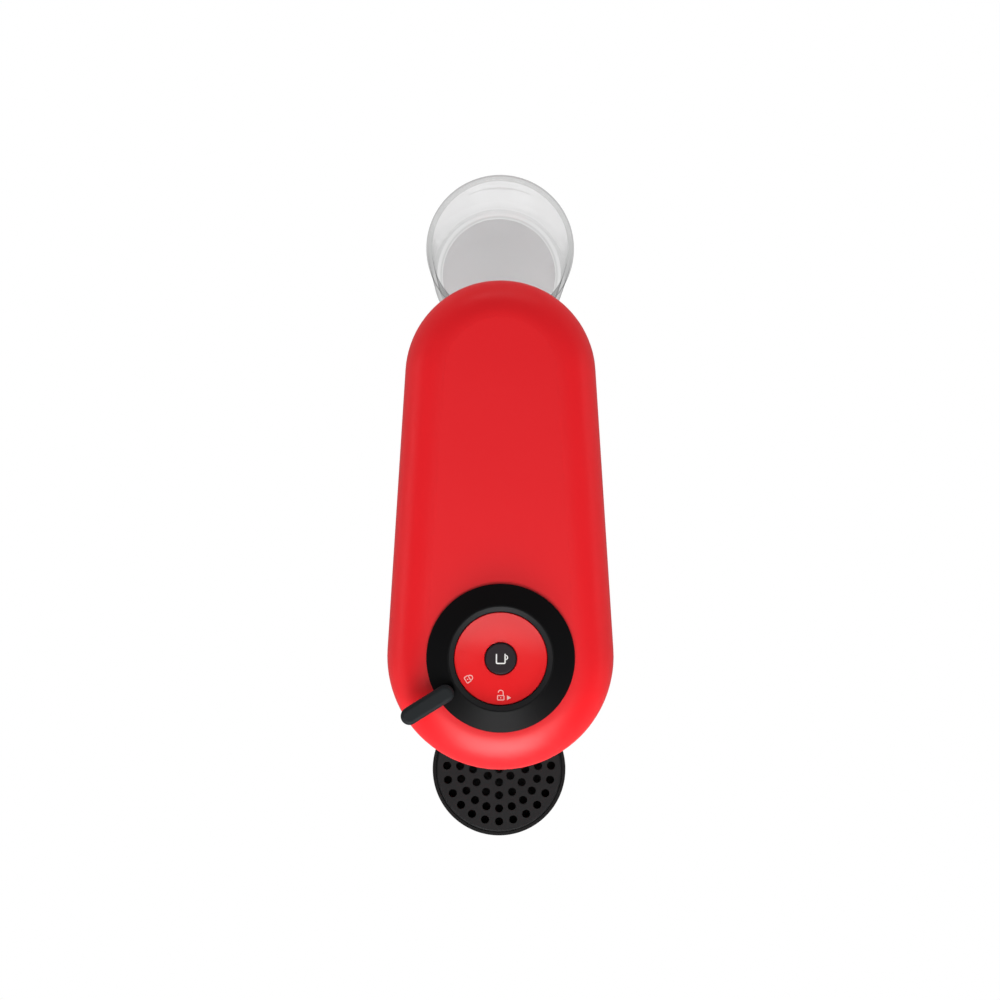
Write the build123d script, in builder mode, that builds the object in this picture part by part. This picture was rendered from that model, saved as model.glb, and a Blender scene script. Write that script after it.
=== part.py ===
from build123d import *
import os
from math import cos, hypot, pi, radians, sin, sqrt

# Pod coffee machine: a pill-shaped hinged head on a round column, with a clear water tank behind
# and a round drip tray in front. Millimetres. +Z is up, the front of the machine faces -Y, and the
# origin is on the table under the middle of the machine.

# Plan of the head: the hull of a front circle round the brewing axis and a rear circle.
HEAD_FRONT_RADIUS = 68.0
HEAD_REAR_RADIUS = 57.3
BREW_AXIS_Y = -82.5
HEAD_REAR_Y = 86.1
# Plan of the column under the head.
COLUMN_FRONT_RADIUS = 50.0
COLUMN_REAR_RADIUS = 44.0
COLUMN_FRONT_Y = -66.0
COLUMN_REAR_Y = 72.0
# Heights of the housing, from the table up.
FOOT_HEIGHT = 3.0
BASE_THICKNESS = 5.0
FLARE_LOW_Z = 132.0
FLARE_HIGH_Z = 172.0
PARTING_Z = 196.0
PARTING_GAP = 0.4
LID_TOP_Z = 237.0
LID_EDGE_RADIUS = 24.0
FLARE_RADIUS = 30.0
SHELL_WALL = 3.0
FOOT_RADIUS = 8.0
VENT_COUNT = 5
VENT_PITCH = 8.0
VENT_LENGTH = 40.0
FOOT_CHAMFER = 1.0
SCREW_BOSS_RADIUS = 4.5
# Deck that covers the lower head, and the ledge that it lies on.
DECK_DROP = 2.0
DECK_THICKNESS = 4.0
DECK_LEDGE_WIDTH = 2.5
DECK_LEDGE_HEIGHT = 3.0
DECK_REAR_Y = 108.0
# Clearances: seats that stay put, pieces that slide, and shafts that run.
SEAT_CLEARANCE = 0.15
SLIDE_CLEARANCE = 0.4
RUNNING_CLEARANCE = 0.04
# Water tank, its dock and its spigot.
TANK_Y = 167.25
TANK_BOTTOM_Z = 26.0
TANK_RIM_Z = 176.0
TANK_TOP_RADIUS = 45.0
TANK_FOOT_RADIUS = 44.5
TANK_RIM_OVERHANG = 0.65
TANK_RIM_HEIGHT = 4.0
TANK_WALL = 2.6
TANK_FLOOR = 3.0
TANK_FLOOR_FILLET = 3.3
DOCK_RADIUS = 38.3
DOCK_WALL = 2.5
TANK_RIM_FILLET = 0.8
NECK_WIDTH = 44.0
SCOOP_CLEARANCE = 4.0
SCOOP_HEADROOM = 2.5
SPIGOT_Z = 42.0
SPIGOT_RADIUS = 7.0
SPIGOT_BORE_RADIUS = 4.6
SPIGOT_REACH = 12.0
SPIGOT_FLANGE = 2.5
SPIDER_BACKSET = 5.0
SPIDER_THICKNESS = 2.0
FLOW_HOLE_COUNT = 3
FLOW_HOLE_RADIUS = 0.9
SOCKET_WALL = 3.0
SOCKET_END_GAP = 1.5
SOCKET_BACK = 2.5
SOCKET_STUB = 9.0
SOCKET_STUB_RADIUS = 5.5
SOCKET_BORE_RADIUS = 3.8
PROBE_RADIUS = 1.2
SEAL_WIRE_RADIUS = 1.0
# Check valve in the spigot.
VALVE_STEM_RADIUS = 1.4
VALVE_DISC_RADIUS = 5.6
VALVE_DISC_THICKNESS = 1.6
VALVE_LIFT = 3.0
VALVE_COLLAR_RADIUS = 3.4
STEM_RECESS = 1.0
VALVE_SPRING_WIRE = 0.6
VALVE_SPRING_TURNS = 3
# Drip tray and its grid.
TRAY_Y = -168.0
TRAY_TOP_RADIUS = 44.9
TRAY_FOOT_RADIUS = 41.0
TRAY_TOP_Z = 33.0
TRAY_FOOT_Z = 2.0
TRAY_WALL = 2.2
TRAY_FLOOR = 2.4
TONGUE_WIDTH = 40.0
TONGUE_HEIGHT = 12.0
TONGUE_REACH = 24.0
TONGUE_CORNER = 2.0
TRAY_PAD_COUNT = 4
GRID_THICKNESS = 3.6
GRID_PROUD = 1.6
GRID_LEDGE_WIDTH = 2.0
GRID_EDGE_RADIUS = 1.2
GRID_HOLE_RADIUS = 2.75
GRID_RING_PITCH = 8.8
GRID_RING_COUNTS = (6, 12, 19, 23)
# Used capsule container under the brewing unit.
CONTAINER_SIDE_GAP = 1.3
CONTAINER_BOTTOM_Z = 40.0
CONTAINER_TOP_Z = 108.0
CONTAINER_REAR_Y = 8.0
CONTAINER_WALL = 2.5
FINGER_NOTCH_RADIUS = 13.0
# Inner frame between the front and rear compartments.
FRAME_WALL = 3.0
SHELF_WALL_X = 31.5
PARTITION_Y = 13.5
PARTITION_TOP_Z = 150.0
# Brewing unit, on the brewing axis.
HOLDER_RIM_RADIUS = 33.5
HOLDER_RIM_HEIGHT = 5.5
HOLDER_CUP_RADIUS = 28.6
HOLDER_WALL = 1.8
HOLDER_BOTTOM_Z = 156.0
HOLDER_TOP_DROP = 2.5
HOLDER_LIP = 2.4
HOLDER_SEAT_DEPTH = 1.6
HOLDER_TAPER = 11.0
HOLDER_BOSS_RADIUS = 7.0
HOLDER_BOSS_HEIGHT = 3.0
GUTTER_OUTER_RADIUS = 37.7
GUTTER_INNER_RADIUS = 30.0
GUTTER_WALL = 2.4
GUTTER_FLOOR_Z = 168.0
GUTTER_INNER_HEIGHT = 18.0
GUTTER_FLANGE = 2.3
SPOUT_WIDTH = 16.0
SPOUT_HEIGHT = 9.0
SPOUT_WALL = 2.0
OUTLET_Y = -132.0
OUTLET_RADIUS = 7.0
OUTLET_BORE_RADIUS = 4.5
OUTLET_TIP_Z = 143.0
OUTLET_TIP_WALL = 1.2
OUTLET_TIP_TAPER = 4.0
CARRIER_FLOOR_Z = 148.0
CARRIER_WALL = 3.0
CARRIER_HOLE_COUNT = 6
CARRIER_HOLE_RADIUS = 3.0
MOTOR_BOTTOM_Z = 112.0
MOTOR_RADIUS = 26.0
MOTOR_WALL = 2.5
STATOR_LENGTH = 22.0
STATOR_BORE_RADIUS = 15.0
STATOR_SLOT_COUNT = 9
STATOR_SLOT_RADIUS = 2.2
ROTOR_GAP = 0.6
SHAFT_RADIUS = 3.0
BEARING_RADIUS = 8.0
BEARING_WIDTH = 4.0
CHUTE_WIDTH = 66.0
CHUTE_FRONT_Y = -32.0
CHUTE_REAR_Y = 8.0
CHUTE_WALL = 2.0
CHUTE_CORNER = 6.0
CHUTE_BOTTOM_Z = 110.0
# Lock ring, lever and collar on the head.
RING_OUTER_RADIUS = 43.9
RING_CROWN_RADIUS = 31.4
RING_CROWN_HEIGHT = 8.3
RING_EDGE_HEIGHT = 1.0
RING_FLOAT = 0.2
RING_LIP_HEIGHT = 3.0
CROWN_WIDTH = 0.8
RING_STEP = 0.9
BOSS_RADIUS = 26.0
BOSS_BORE_RADIUS = 22.0
BOSS_HEIGHT = 3.5
DISC_RADIUS = 27.4
DISC_THICKNESS = 2.0
LEVER_INNER_RADIUS = 33.3
LEVER_OUTER_RADIUS = 68.3
LEVER_WIDTH = 10.3
LEVER_THICKNESS = 9.0
LEVER_TOP_Z = 250.0
LEVER_EDGE_RADIUS = 2.4
LEVER_ANGLE = 212.0
LOCK_TURN = 58.0
COLLAR_OUTER_RADIUS = 46.5
COLLAR_INNER_RADIUS = 34.0
COLLAR_THICKNESS = 3.2
COLLAR_LEG_WALL = 3.0
COLLAR_LEG_ANGLE = 14.0
COLLAR_LEG_COUNT = 3
COLLAR_FIRST_LEG_ANGLE = 110.0
COLLAR_LEG_REACH = 7.0
LEG_SLOT_CLEARANCE = 0.8
TAB_RADIUS = 36.5
TAB_WIDTH = 3.4
TAB_ANGLE = 12.0
SLOT_END_ANGLE = 2.0
# Start button and its board.
BUTTON_RADIUS = 9.2
BUTTON_PROUD = 0.8
BUTTON_FLANGE_WIDTH = 1.8
BUTTON_FLANGE_THICKNESS = 1.5
BUTTON_STEM_RADIUS = 3.0
BUTTON_TRAVEL = 1.5
SLEEVE_WALL = 1.2
BOARD_THICKNESS = 1.6
LID_BOARD_DROP = 6.4
SWITCH_SIZE = 6.0
SWITCH_HEIGHT = 3.5
# Injector under the lid.
HUB_FLANGE_RADIUS = 32.0
HUB_FLANGE_THICKNESS = 4.0
HUB_BORE_RADIUS = 16.0
HUB_WALL = 3.0
HUB_LEDGE_WIDTH = 3.0
INJECTOR_RADIUS = 34.0
INJECTOR_THICKNESS = 4.5
INJECTOR_SHAFT_RADIUS = 8.0
INJECTOR_BEARING_RADIUS = 14.0
INJECTOR_BEARING_WIDTH = 6.6
INJECTOR_LIFT = 1.0
SEAL_WIDTH = 4.5
SEAL_THICKNESS = 2.0
PIERCER_COUNT = 20
PIERCER_RADIUS = 1.0
PIERCER_LENGTH = 2.5
PIERCER_CIRCLE_RADIUS = 26.5
NEEDLE_RADIUS = 1.8
NEEDLE_LENGTH = 11.0
NEEDLE_POINT = 4.0
LID_COVER_THICKNESS = 3.0
LID_COVER_RAISE = 0.6
LID_COVER_RIM_HEIGHT = 6.0
LID_COVER_RIM_WALL = 2.0
LID_COVER_REAR_Y = 100.0
# Rear hinge of the lid.
HINGE_Y = 133.5
HINGE_RISE = 4.7
KNUCKLE_RADIUS = 4.5
HINGE_PIN_RADIUS = 2.0
ARM_WIDTH = 12.0
EAR_WIDTH = 4.0
HINGE_SIDE_GAP = 0.3
BRACKET_THICKNESS = 1.5
BRACKET_FRONT_Y = 119.0
BRACKET_TOE = 3.5
ARM_PAD_LENGTH = 20.0
ARM_PAD_WIDTH = 24.0
ARM_PAD_THICKNESS = 4.0
SWIVEL_RADIUS = 3.0
SWIVEL_WIDTH = 4.5
SWIVEL_WALL = 0.4
# Water circuit behind the partition.
HOSE_RADIUS = 3.0
HOSE_BORE_RADIUS = 1.8
HOSE_BEND = 6.0
NIPPLE_LENGTH = 8.0
HOT_HOSE_TURN_Y = 92.0
LID_HOSE_RISE = 34.0
LID_HOSE_MID_Y = 40.0
LID_HOSE_FRONT_Y = -20.0
LID_NIPPLE_ANGLE = 30.0
HUB_INLET_X = 8.0
PUMP_X = -22.0
PUMP_Y = 46.0
PUMP_COIL_SIZE = 34.0
PUMP_CRADLE_HEIGHT = 6.0
PUMP_FOOT_HEIGHT = 18.0
PUMP_FOOT_RADIUS = 12.0
PUMP_HEAD_HEIGHT = 22.0
PUMP_HEAD_RADIUS = 10.0
PUMP_CORNER = 4.0
HEATER_X = 22.0
HEATER_Y = 50.0
HEATER_WIDTH = 32.0
HEATER_LENGTH = 42.0
HEATER_HEIGHT = 66.0
HEATER_STAND_HEIGHT = 18.0
HEATER_PORT_PITCH = 24.0
HEATER_GROOVE = 3.0
HEATER_GROOVE_COUNT = 6
SHEET = 1.5
METER_Y = 84.0
METER_RADIUS = 11.0
METER_HEIGHT = 20.0
BOARD_WIDTH = 74.0
BOARD_HEIGHT = 70.0
BOARD_BOTTOM_Z = 72.0
STANDOFF_LENGTH = 3.0
STANDOFF_RADIUS = 3.0
GLAND_ANGLE = 40.0
GLAND_Z = 20.0
GLAND_RADIUS = 7.0
GLAND_BORE_RADIUS = 3.6
GLAND_LENGTH = 12.0
GLAND_FLANGE = 2.5
READER_ANGLE = 199.0
READER_SIZE = 12.0
SCREW_HEAD_RADIUS = 3.2
SCREW_HEAD_HEIGHT = 1.6
SCREW_SHANK_RADIUS = 1.6
SCREW_LENGTH = 9.0
# Places of the feet and screws, in plan.
BASE_SCREW_SPOTS = [(x, y) for x in (-SHELF_WALL_X, SHELF_WALL_X) for y in (-52.0, 0.0)]
LID_SCREW_SPOTS = [(x, y) for x in (-38.0, 38.0) for y in (-22.0, 66.0)]
FOOT_SPREAD = 29.0
FOOT_INSET = 13.0
FOOT_SPOTS = [
    (-FOOT_SPREAD, COLUMN_FRONT_Y - FOOT_INSET),
    (FOOT_SPREAD, COLUMN_FRONT_Y - FOOT_INSET),
    (-FOOT_SPREAD, COLUMN_REAR_Y + FOOT_INSET),
    (FOOT_SPREAD, COLUMN_REAR_Y + FOOT_INSET),
    (0.0, TANK_Y + DOCK_RADIUS / 2),
]

# Levels and places that follow from the sizes above.
BASE_TOP = FOOT_HEIGHT + BASE_THICKNESS
DECK_TOP = PARTING_Z - DECK_DROP
DECK_BOTTOM = DECK_TOP - DECK_THICKNESS
LID_BOTTOM = PARTING_Z + PARTING_GAP
LID_CEILING = LID_TOP_Z - SHELL_WALL
LID_COVER_Z = LID_BOTTOM + LID_COVER_RAISE
LID_COVER_TOP = LID_COVER_Z + LID_COVER_THICKNESS
SCOOP_RADIUS = TANK_TOP_RADIUS + TANK_RIM_OVERHANG + SCOOP_CLEARANCE
SCOOP_TOP = TANK_RIM_Z + SCOOP_HEADROOM
LIP_FLOOR = SCOOP_TOP + SHELL_WALL
HINGE_Z = LIP_FLOOR + HINGE_RISE
TANK_FRONT_Y = TANK_Y - TANK_FOOT_RADIUS
COLUMN_REAR_END_Y = COLUMN_REAR_Y + COLUMN_REAR_RADIUS
HOLDER_TOP = PARTING_Z - HOLDER_TOP_DROP
BOSS_TOP = LID_TOP_Z + BOSS_HEIGHT
DISC_TOP = BOSS_TOP + DISC_THICKNESS
RING_BOTTOM = LID_TOP_Z + RING_FLOAT
COLLAR_TOP = LID_CEILING - SLIDE_CLEARANCE
COLLAR_BOTTOM = COLLAR_TOP - COLLAR_THICKNESS
INJECTOR_BOTTOM = PARTING_Z + INJECTOR_LIFT
INJECTOR_TOP = INJECTOR_BOTTOM + INJECTOR_THICKNESS
HUB_PLATE_Z = INJECTOR_TOP + INJECTOR_BEARING_WIDTH + RING_FLOAT * 3
ARM_SIDE = ARM_WIDTH / 2
EAR_INNER = ARM_SIDE + HINGE_SIDE_GAP
EAR_OUTER = EAR_INNER + EAR_WIDTH
BREW_AXIS = Plane((0, BREW_AXIS_Y, 0))


def pill(front_radius, rear_radius, front_y, rear_y):
    """Plan outline: the hull of a front circle and a rear circle."""
    with BuildSketch() as outline:
        with Locations((0, front_y)):
            Circle(front_radius)
        with Locations((0, rear_y)):
            Circle(rear_radius)
        make_hull()
    return outline.sketch


def head_outline(inset=0.0):
    """Plan of the head, drawn in by an inset."""
    return pill(HEAD_FRONT_RADIUS - inset, HEAD_REAR_RADIUS - inset, BREW_AXIS_Y, HEAD_REAR_Y)


def column_outline(inset=0.0):
    """Plan of the column, drawn in by an inset."""
    return pill(COLUMN_FRONT_RADIUS - inset, COLUMN_REAR_RADIUS - inset, COLUMN_FRONT_Y, COLUMN_REAR_Y)


def housing_volume(inset, low_radius, high_radius):
    """Column, flare and lower head as one solid, drawn in by an inset."""
    with BuildPart() as volume:
        with BuildSketch(Plane.XY.offset(BASE_TOP)):
            add(column_outline(inset))
        extrude(amount=FLARE_LOW_Z - BASE_TOP)
        with BuildSketch(Plane.XY.offset(FLARE_LOW_Z)):
            add(column_outline(inset))
        with BuildSketch(Plane.XY.offset(FLARE_HIGH_Z)):
            add(head_outline(inset))
        loft(ruled=True)
        with BuildSketch(Plane.XY.offset(FLARE_HIGH_Z)):
            add(head_outline(inset))
        extrude(amount=PARTING_Z - FLARE_HIGH_Z)
        fillet(volume.edges().filter_by_position(Axis.Z, FLARE_LOW_Z, FLARE_LOW_Z), low_radius)
        fillet(volume.edges().filter_by_position(Axis.Z, FLARE_HIGH_Z, FLARE_HIGH_Z), high_radius)
    return volume.part


def spun(points, plane=BREW_AXIS):
    """A turned solid: points of radius and height, revolved about the plane's own normal."""
    with BuildPart() as turned:
        section = Plane(origin=plane.origin, x_dir=plane.x_dir, z_dir=-plane.y_dir)
        with BuildSketch(section):
            with BuildLine():
                Polyline(*points, close=True)
            make_face()
        revolve(axis=Axis(plane.origin, plane.z_dir))
    return turned.part


def tube(outer_radius, inner_radius, low, high, plane=BREW_AXIS):
    """A plain ring between two heights, about the plane's normal."""
    corners = [(inner_radius, low), (outer_radius, low), (outer_radius, high), (inner_radius, high)]
    return spun(corners, plane)


def rod(radius, low, high, plane=BREW_AXIS):
    """A plain cylinder between two heights, about the plane's normal."""
    return tube(radius, 0, low, high, plane)


def block(x_range, y_range, z_range):
    """A box between two corners."""
    with BuildPart() as solid:
        with BuildSketch(Plane.XY.offset(z_range[0])):
            with Locations((sum(x_range) / 2, sum(y_range) / 2)):
                Rectangle(x_range[1] - x_range[0], y_range[1] - y_range[0])
        extrude(amount=z_range[1] - z_range[0])
    return solid.part


def ring_sector(outer_radius, inner_radius, start, end, low, high):
    """A piece of a ring round the brewing axis, between two angles in degrees and two heights."""
    with BuildPart() as sector:
        with BuildSketch(Plane((0, BREW_AXIS_Y, low))):
            with BuildLine():
                CenterArc((0, 0), outer_radius, start, end - start)
                CenterArc((0, 0), inner_radius, start, end - start)
                for angle in (start, end):
                    across, along = cos(radians(angle)), sin(radians(angle))
                    Line(
                        (inner_radius * across, inner_radius * along),
                        (outer_radius * across, outer_radius * along),
                    )
            make_face()
        extrude(amount=high - low)
    return sector.part


def hose(points, bend):
    """A hose along straight runs joined by tangent bends."""
    with BuildPart() as bent:
        with BuildLine() as route:
            FilletPolyline(*points, radius=bend)
        with BuildSketch(Plane(origin=route.line @ 0, z_dir=route.line % 0)):
            Circle(HOSE_RADIUS)
            Circle(HOSE_BORE_RADIUS, mode=Mode.SUBTRACT)
        sweep()
    return bent.part


def coil(radius, wire_radius, turns, low, high, plane):
    """A round-wire spring about the plane's normal, wound in quarter-turn arcs between two heights."""
    climb = (high - low - 2 * wire_radius) / (4 * turns)
    points = []
    for quarter in range(4 * turns + 1):
        angle = radians(90 * quarter)
        local = (radius * cos(angle), radius * sin(angle), low + wire_radius + climb * quarter)
        points.append(plane.from_local_coords(Vector(*local)))
    heading = plane.y_dir * (radius * pi / 2) + plane.z_dir * climb
    with BuildPart() as wound:
        with BuildSketch(Plane(origin=points[0], z_dir=heading)):
            Circle(wire_radius)
        with BuildLine():
            for start, end in zip(points, points[1:]):
                quarter_turn = TangentArc(start, end, tangent=heading)
                heading = quarter_turn % 1
        sweep()
    return wound.part


def column_half_width(y):
    """Half the column's width across its flat sides, at a place along Y."""
    lean = (COLUMN_FRONT_RADIUS - COLUMN_REAR_RADIUS) / (COLUMN_REAR_Y - COLUMN_FRONT_Y)
    return (COLUMN_FRONT_RADIUS + (COLUMN_FRONT_Y - y) * lean) / sqrt(1 - lean**2)


# Places that several pieces share.
CONTAINER_SIDE = column_half_width(CONTAINER_REAR_Y) - SHELL_WALL - CONTAINER_SIDE_GAP
TONGUE_SIDE = TONGUE_WIDTH / 2
COLUMN_FRONT_END_Y = COLUMN_FRONT_Y - COLUMN_FRONT_RADIUS
TANK_AXIS = Plane((0, TANK_Y, 0))
TRAY_AXIS = Plane((0, TRAY_Y, 0))
OUTLET_AXIS = Plane((0, OUTLET_Y, 0))
SPIGOT_AXIS = Plane(origin=(0, 0, SPIGOT_Z), x_dir=(1, 0, 0), z_dir=(0, 1, 0))
HINGE_AXIS = Plane(origin=(0, HINGE_Y, HINGE_Z), x_dir=(0, 1, 0), z_dir=(1, 0, 0))
GLAND_DIRECTION = Vector(sin(radians(GLAND_ANGLE)), cos(radians(GLAND_ANGLE)), 0)
GLAND_PLANE = Plane(
    origin=Vector(0, COLUMN_REAR_Y, GLAND_Z) + GLAND_DIRECTION * COLUMN_REAR_RADIUS,
    z_dir=GLAND_DIRECTION,
)
SOCKET_RADIUS = SPIGOT_RADIUS + SLIDE_CLEARANCE + SOCKET_WALL
SOCKET_MOUTH_Y = COLUMN_REAR_END_Y + SHELL_WALL / 2

# The lid's rear wall rolls backwards over the body's rear edge, which is rounded to clear it.
LID_INNER_REAR = HEAD_REAR_RADIUS - SHELL_WALL
ROLL_SIDE = sqrt(LID_INNER_REAR**2 - (HINGE_Y - HEAD_REAR_Y) ** 2)
ROLL_END = sqrt(HEAD_REAR_RADIUS**2 - (HINGE_Y - HEAD_REAR_Y) ** 2)
ROLL_RISE = LID_BOTTOM - HINGE_Z
ROLL_EDGE_RADIUS = ROLL_RISE - SLIDE_CLEARANCE
ROLL_MID_RADIUS = hypot(HEAD_REAR_Y + LID_INNER_REAR - HINGE_Y, ROLL_RISE) - SLIDE_CLEARANCE
with BuildPart() as rear_relief:
    add(
        block(
            (-ROLL_END, ROLL_END),
            (HINGE_Y, HEAD_REAR_Y + HEAD_REAR_RADIUS + SHELL_WALL),
            (HINGE_Z, LID_BOTTOM),
        )
    )
    with BuildSketch(Plane(origin=(0, HINGE_Y, HINGE_Z))):
        with BuildLine():
            Polyline(
                (-ROLL_END, 0),
                (-ROLL_END, ROLL_EDGE_RADIUS),
                (-ROLL_SIDE, ROLL_EDGE_RADIUS),
                (0, ROLL_MID_RADIUS),
                (ROLL_SIDE, ROLL_EDGE_RADIUS),
                (ROLL_END, ROLL_EDGE_RADIUS),
                (ROLL_END, 0),
                close=True,
            )
        make_face()
    revolve(axis=Axis((0, HINGE_Y, HINGE_Z), (1, 0, 0)), mode=Mode.SUBTRACT)

# Body shell: column, flare and lower head in one moulding, open at the top and the bottom, with a
# hollow at the rear where the tank stands under the head.
with BuildPart() as body_cavity:
    add(housing_volume(SHELL_WALL, FLARE_RADIUS + SHELL_WALL, FLARE_RADIUS - SHELL_WALL))
    add(rod(SCOOP_RADIUS + SHELL_WALL, FLARE_LOW_Z, LIP_FLOOR, TANK_AXIS), mode=Mode.SUBTRACT)

with BuildPart() as body_shell:
    add(housing_volume(0, FLARE_RADIUS, FLARE_RADIUS))
    add(rod(SCOOP_RADIUS, FLARE_LOW_Z, SCOOP_TOP, TANK_AXIS), mode=Mode.SUBTRACT)
    add(body_cavity.part, mode=Mode.SUBTRACT)
    with BuildSketch(Plane.XY.offset(DECK_BOTTOM - DECK_LEDGE_HEIGHT)):
        add(head_outline(SHELL_WALL / 2))
        add(head_outline(SHELL_WALL + DECK_LEDGE_WIDTH), mode=Mode.SUBTRACT)
        with Locations((0, DECK_REAR_Y)):
            Rectangle(
                2 * HEAD_REAR_RADIUS,
                2 * HEAD_REAR_RADIUS,
                align=(Align.CENTER, Align.MIN),
                mode=Mode.SUBTRACT,
            )
    extrude(amount=DECK_LEDGE_HEIGHT)
    add(
        block(
            (-CONTAINER_SIDE - SLIDE_CLEARANCE, CONTAINER_SIDE + SLIDE_CLEARANCE),
            (COLUMN_FRONT_END_Y - SHELL_WALL, COLUMN_FRONT_Y),
            (CONTAINER_BOTTOM_Z - SLIDE_CLEARANCE, CONTAINER_TOP_Z + SLIDE_CLEARANCE),
        ),
        mode=Mode.SUBTRACT,
    )
    add(
        block(
            (-TONGUE_SIDE - SLIDE_CLEARANCE, TONGUE_SIDE + SLIDE_CLEARANCE),
            (COLUMN_FRONT_END_Y - SHELL_WALL, COLUMN_FRONT_Y),
            (BASE_TOP, BASE_TOP + TONGUE_HEIGHT + 2 * SLIDE_CLEARANCE),
        ),
        mode=Mode.SUBTRACT,
    )
    add(rod(OUTLET_RADIUS, OUTLET_TIP_Z, GUTTER_FLOOR_Z, OUTLET_AXIS), mode=Mode.SUBTRACT)
    add(rod(SOCKET_RADIUS, COLUMN_REAR_Y, SOCKET_MOUTH_Y, SPIGOT_AXIS), mode=Mode.SUBTRACT)
    add(rod(GLAND_RADIUS, -GLAND_LENGTH, GLAND_LENGTH, GLAND_PLANE), mode=Mode.SUBTRACT)
    add(rear_relief.part, mode=Mode.SUBTRACT)

# Base plate with cooling slots, carried back under the tank by a neck.
with BuildPart() as base_plate:
    with BuildSketch(Plane.XY.offset(FOOT_HEIGHT)):
        add(column_outline())
        with Locations((0, (COLUMN_REAR_Y + TANK_Y) / 2)):
            Rectangle(NECK_WIDTH, TANK_Y - COLUMN_REAR_Y)
        with Locations((0, TANK_Y)):
            Circle(DOCK_RADIUS)
        with Locations((0, COLUMN_REAR_Y)):
            with GridLocations(0, VENT_PITCH, 1, VENT_COUNT):
                SlotOverall(VENT_LENGTH, VENT_PITCH / 2, mode=Mode.SUBTRACT)
    extrude(amount=BASE_THICKNESS)
    with Locations(*[(x, y, FOOT_HEIGHT) for x, y in BASE_SCREW_SPOTS]):
        with Locations(Rot(180, 0, 0)):
            CounterBoreHole(SCREW_SHANK_RADIUS, SCREW_HEAD_RADIUS, SCREW_HEAD_HEIGHT)

with BuildPart() as rubber_feet:
    for x, y in FOOT_SPOTS:
        add(
            spun(
                [
                    (0, 0),
                    (FOOT_RADIUS - FOOT_CHAMFER, 0),
                    (FOOT_RADIUS, FOOT_CHAMFER),
                    (FOOT_RADIUS, FOOT_HEIGHT),
                    (0, FOOT_HEIGHT),
                ],
                Plane((x, y, 0)),
            )
        )

with BuildPart() as base_screws:
    for x, y in BASE_SCREW_SPOTS:
        spot = Plane((x, y, FOOT_HEIGHT))
        add(rod(SCREW_HEAD_RADIUS, 0, SCREW_HEAD_HEIGHT, spot))
        add(rod(SCREW_SHANK_RADIUS, 0, SCREW_LENGTH, spot))

# Inner frame: a shelf for the used capsule container, its two walls and the partition behind it.
SHELF_TOP = CONTAINER_BOTTOM_Z - SLIDE_CLEARANCE
with BuildPart() as frame_walls:
    add(
        block(
            (-COLUMN_FRONT_RADIUS, COLUMN_FRONT_RADIUS),
            (PARTITION_Y - FRAME_WALL / 2, PARTITION_Y + FRAME_WALL / 2),
            (BASE_TOP, PARTITION_TOP_Z),
        )
    )
    add(
        block(
            (-COLUMN_FRONT_RADIUS, COLUMN_FRONT_RADIUS),
            (COLUMN_FRONT_END_Y, PARTITION_Y),
            (SHELF_TOP - FRAME_WALL, SHELF_TOP),
        )
    )
    for side in (-1, 1):
        add(
            block(
                (side * SHELF_WALL_X - FRAME_WALL / 2, side * SHELF_WALL_X + FRAME_WALL / 2),
                (COLUMN_FRONT_Y, PARTITION_Y),
                (BASE_TOP, SHELF_TOP),
            )
        )

with BuildPart() as inner_frame:
    with BuildSketch(Plane.XY.offset(BASE_TOP)):
        add(column_outline(SHELL_WALL + SEAT_CLEARANCE))
    extrude(amount=PARTITION_TOP_Z - BASE_TOP)
    add(frame_walls.part, mode=Mode.INTERSECT)
    for x, y in BASE_SCREW_SPOTS:
        add(rod(SCREW_BOSS_RADIUS, BASE_TOP, SHELF_TOP, Plane((x, y, 0))))
        pilot = rod(SCREW_SHANK_RADIUS, BASE_TOP, FOOT_HEIGHT + SCREW_LENGTH, Plane((x, y, 0)))
        add(pilot, mode=Mode.SUBTRACT)

# Brewing deck: the floor of the open head, with the capsule well, the three slots of the lock
# collar's legs and the mouth of the used capsule chute.
LEG_OUTER = COLLAR_OUTER_RADIUS + LEG_SLOT_CLEARANCE
LEG_INNER = COLLAR_OUTER_RADIUS - COLLAR_LEG_WALL - LEG_SLOT_CLEARANCE
LEG_ANGLES = [COLLAR_FIRST_LEG_ANGLE + 360 / COLLAR_LEG_COUNT * leg for leg in range(COLLAR_LEG_COUNT)]
with BuildPart() as brew_deck:
    with BuildSketch(Plane.XY.offset(DECK_BOTTOM)):
        add(head_outline(SHELL_WALL + SEAT_CLEARANCE))
        with Locations((0, DECK_REAR_Y)):
            Rectangle(
                2 * HEAD_REAR_RADIUS,
                2 * HEAD_REAR_RADIUS,
                align=(Align.CENTER, Align.MIN),
                mode=Mode.SUBTRACT,
            )
        with Locations((0, (CHUTE_FRONT_Y + CHUTE_REAR_Y) / 2)):
            RectangleRounded(CHUTE_WIDTH, CHUTE_REAR_Y - CHUTE_FRONT_Y, CHUTE_CORNER, mode=Mode.SUBTRACT)
    extrude(amount=DECK_THICKNESS)
    add(rod(GUTTER_OUTER_RADIUS + SEAT_CLEARANCE, DECK_BOTTOM, DECK_TOP), mode=Mode.SUBTRACT)
    add(
        rod(
            GUTTER_OUTER_RADIUS + GUTTER_FLANGE + SEAT_CLEARANCE,
            DECK_TOP - DECK_THICKNESS / 2,
            DECK_TOP,
        ),
        mode=Mode.SUBTRACT,
    )
    for angle in LEG_ANGLES:
        slot = ring_sector(
            LEG_OUTER,
            LEG_INNER,
            angle - COLLAR_LEG_ANGLE / 2 - SLOT_END_ANGLE,
            angle + LOCK_TURN + COLLAR_LEG_ANGLE / 2 + SLOT_END_ANGLE,
            DECK_BOTTOM,
            DECK_TOP,
        )
        add(slot, mode=Mode.SUBTRACT)

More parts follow.
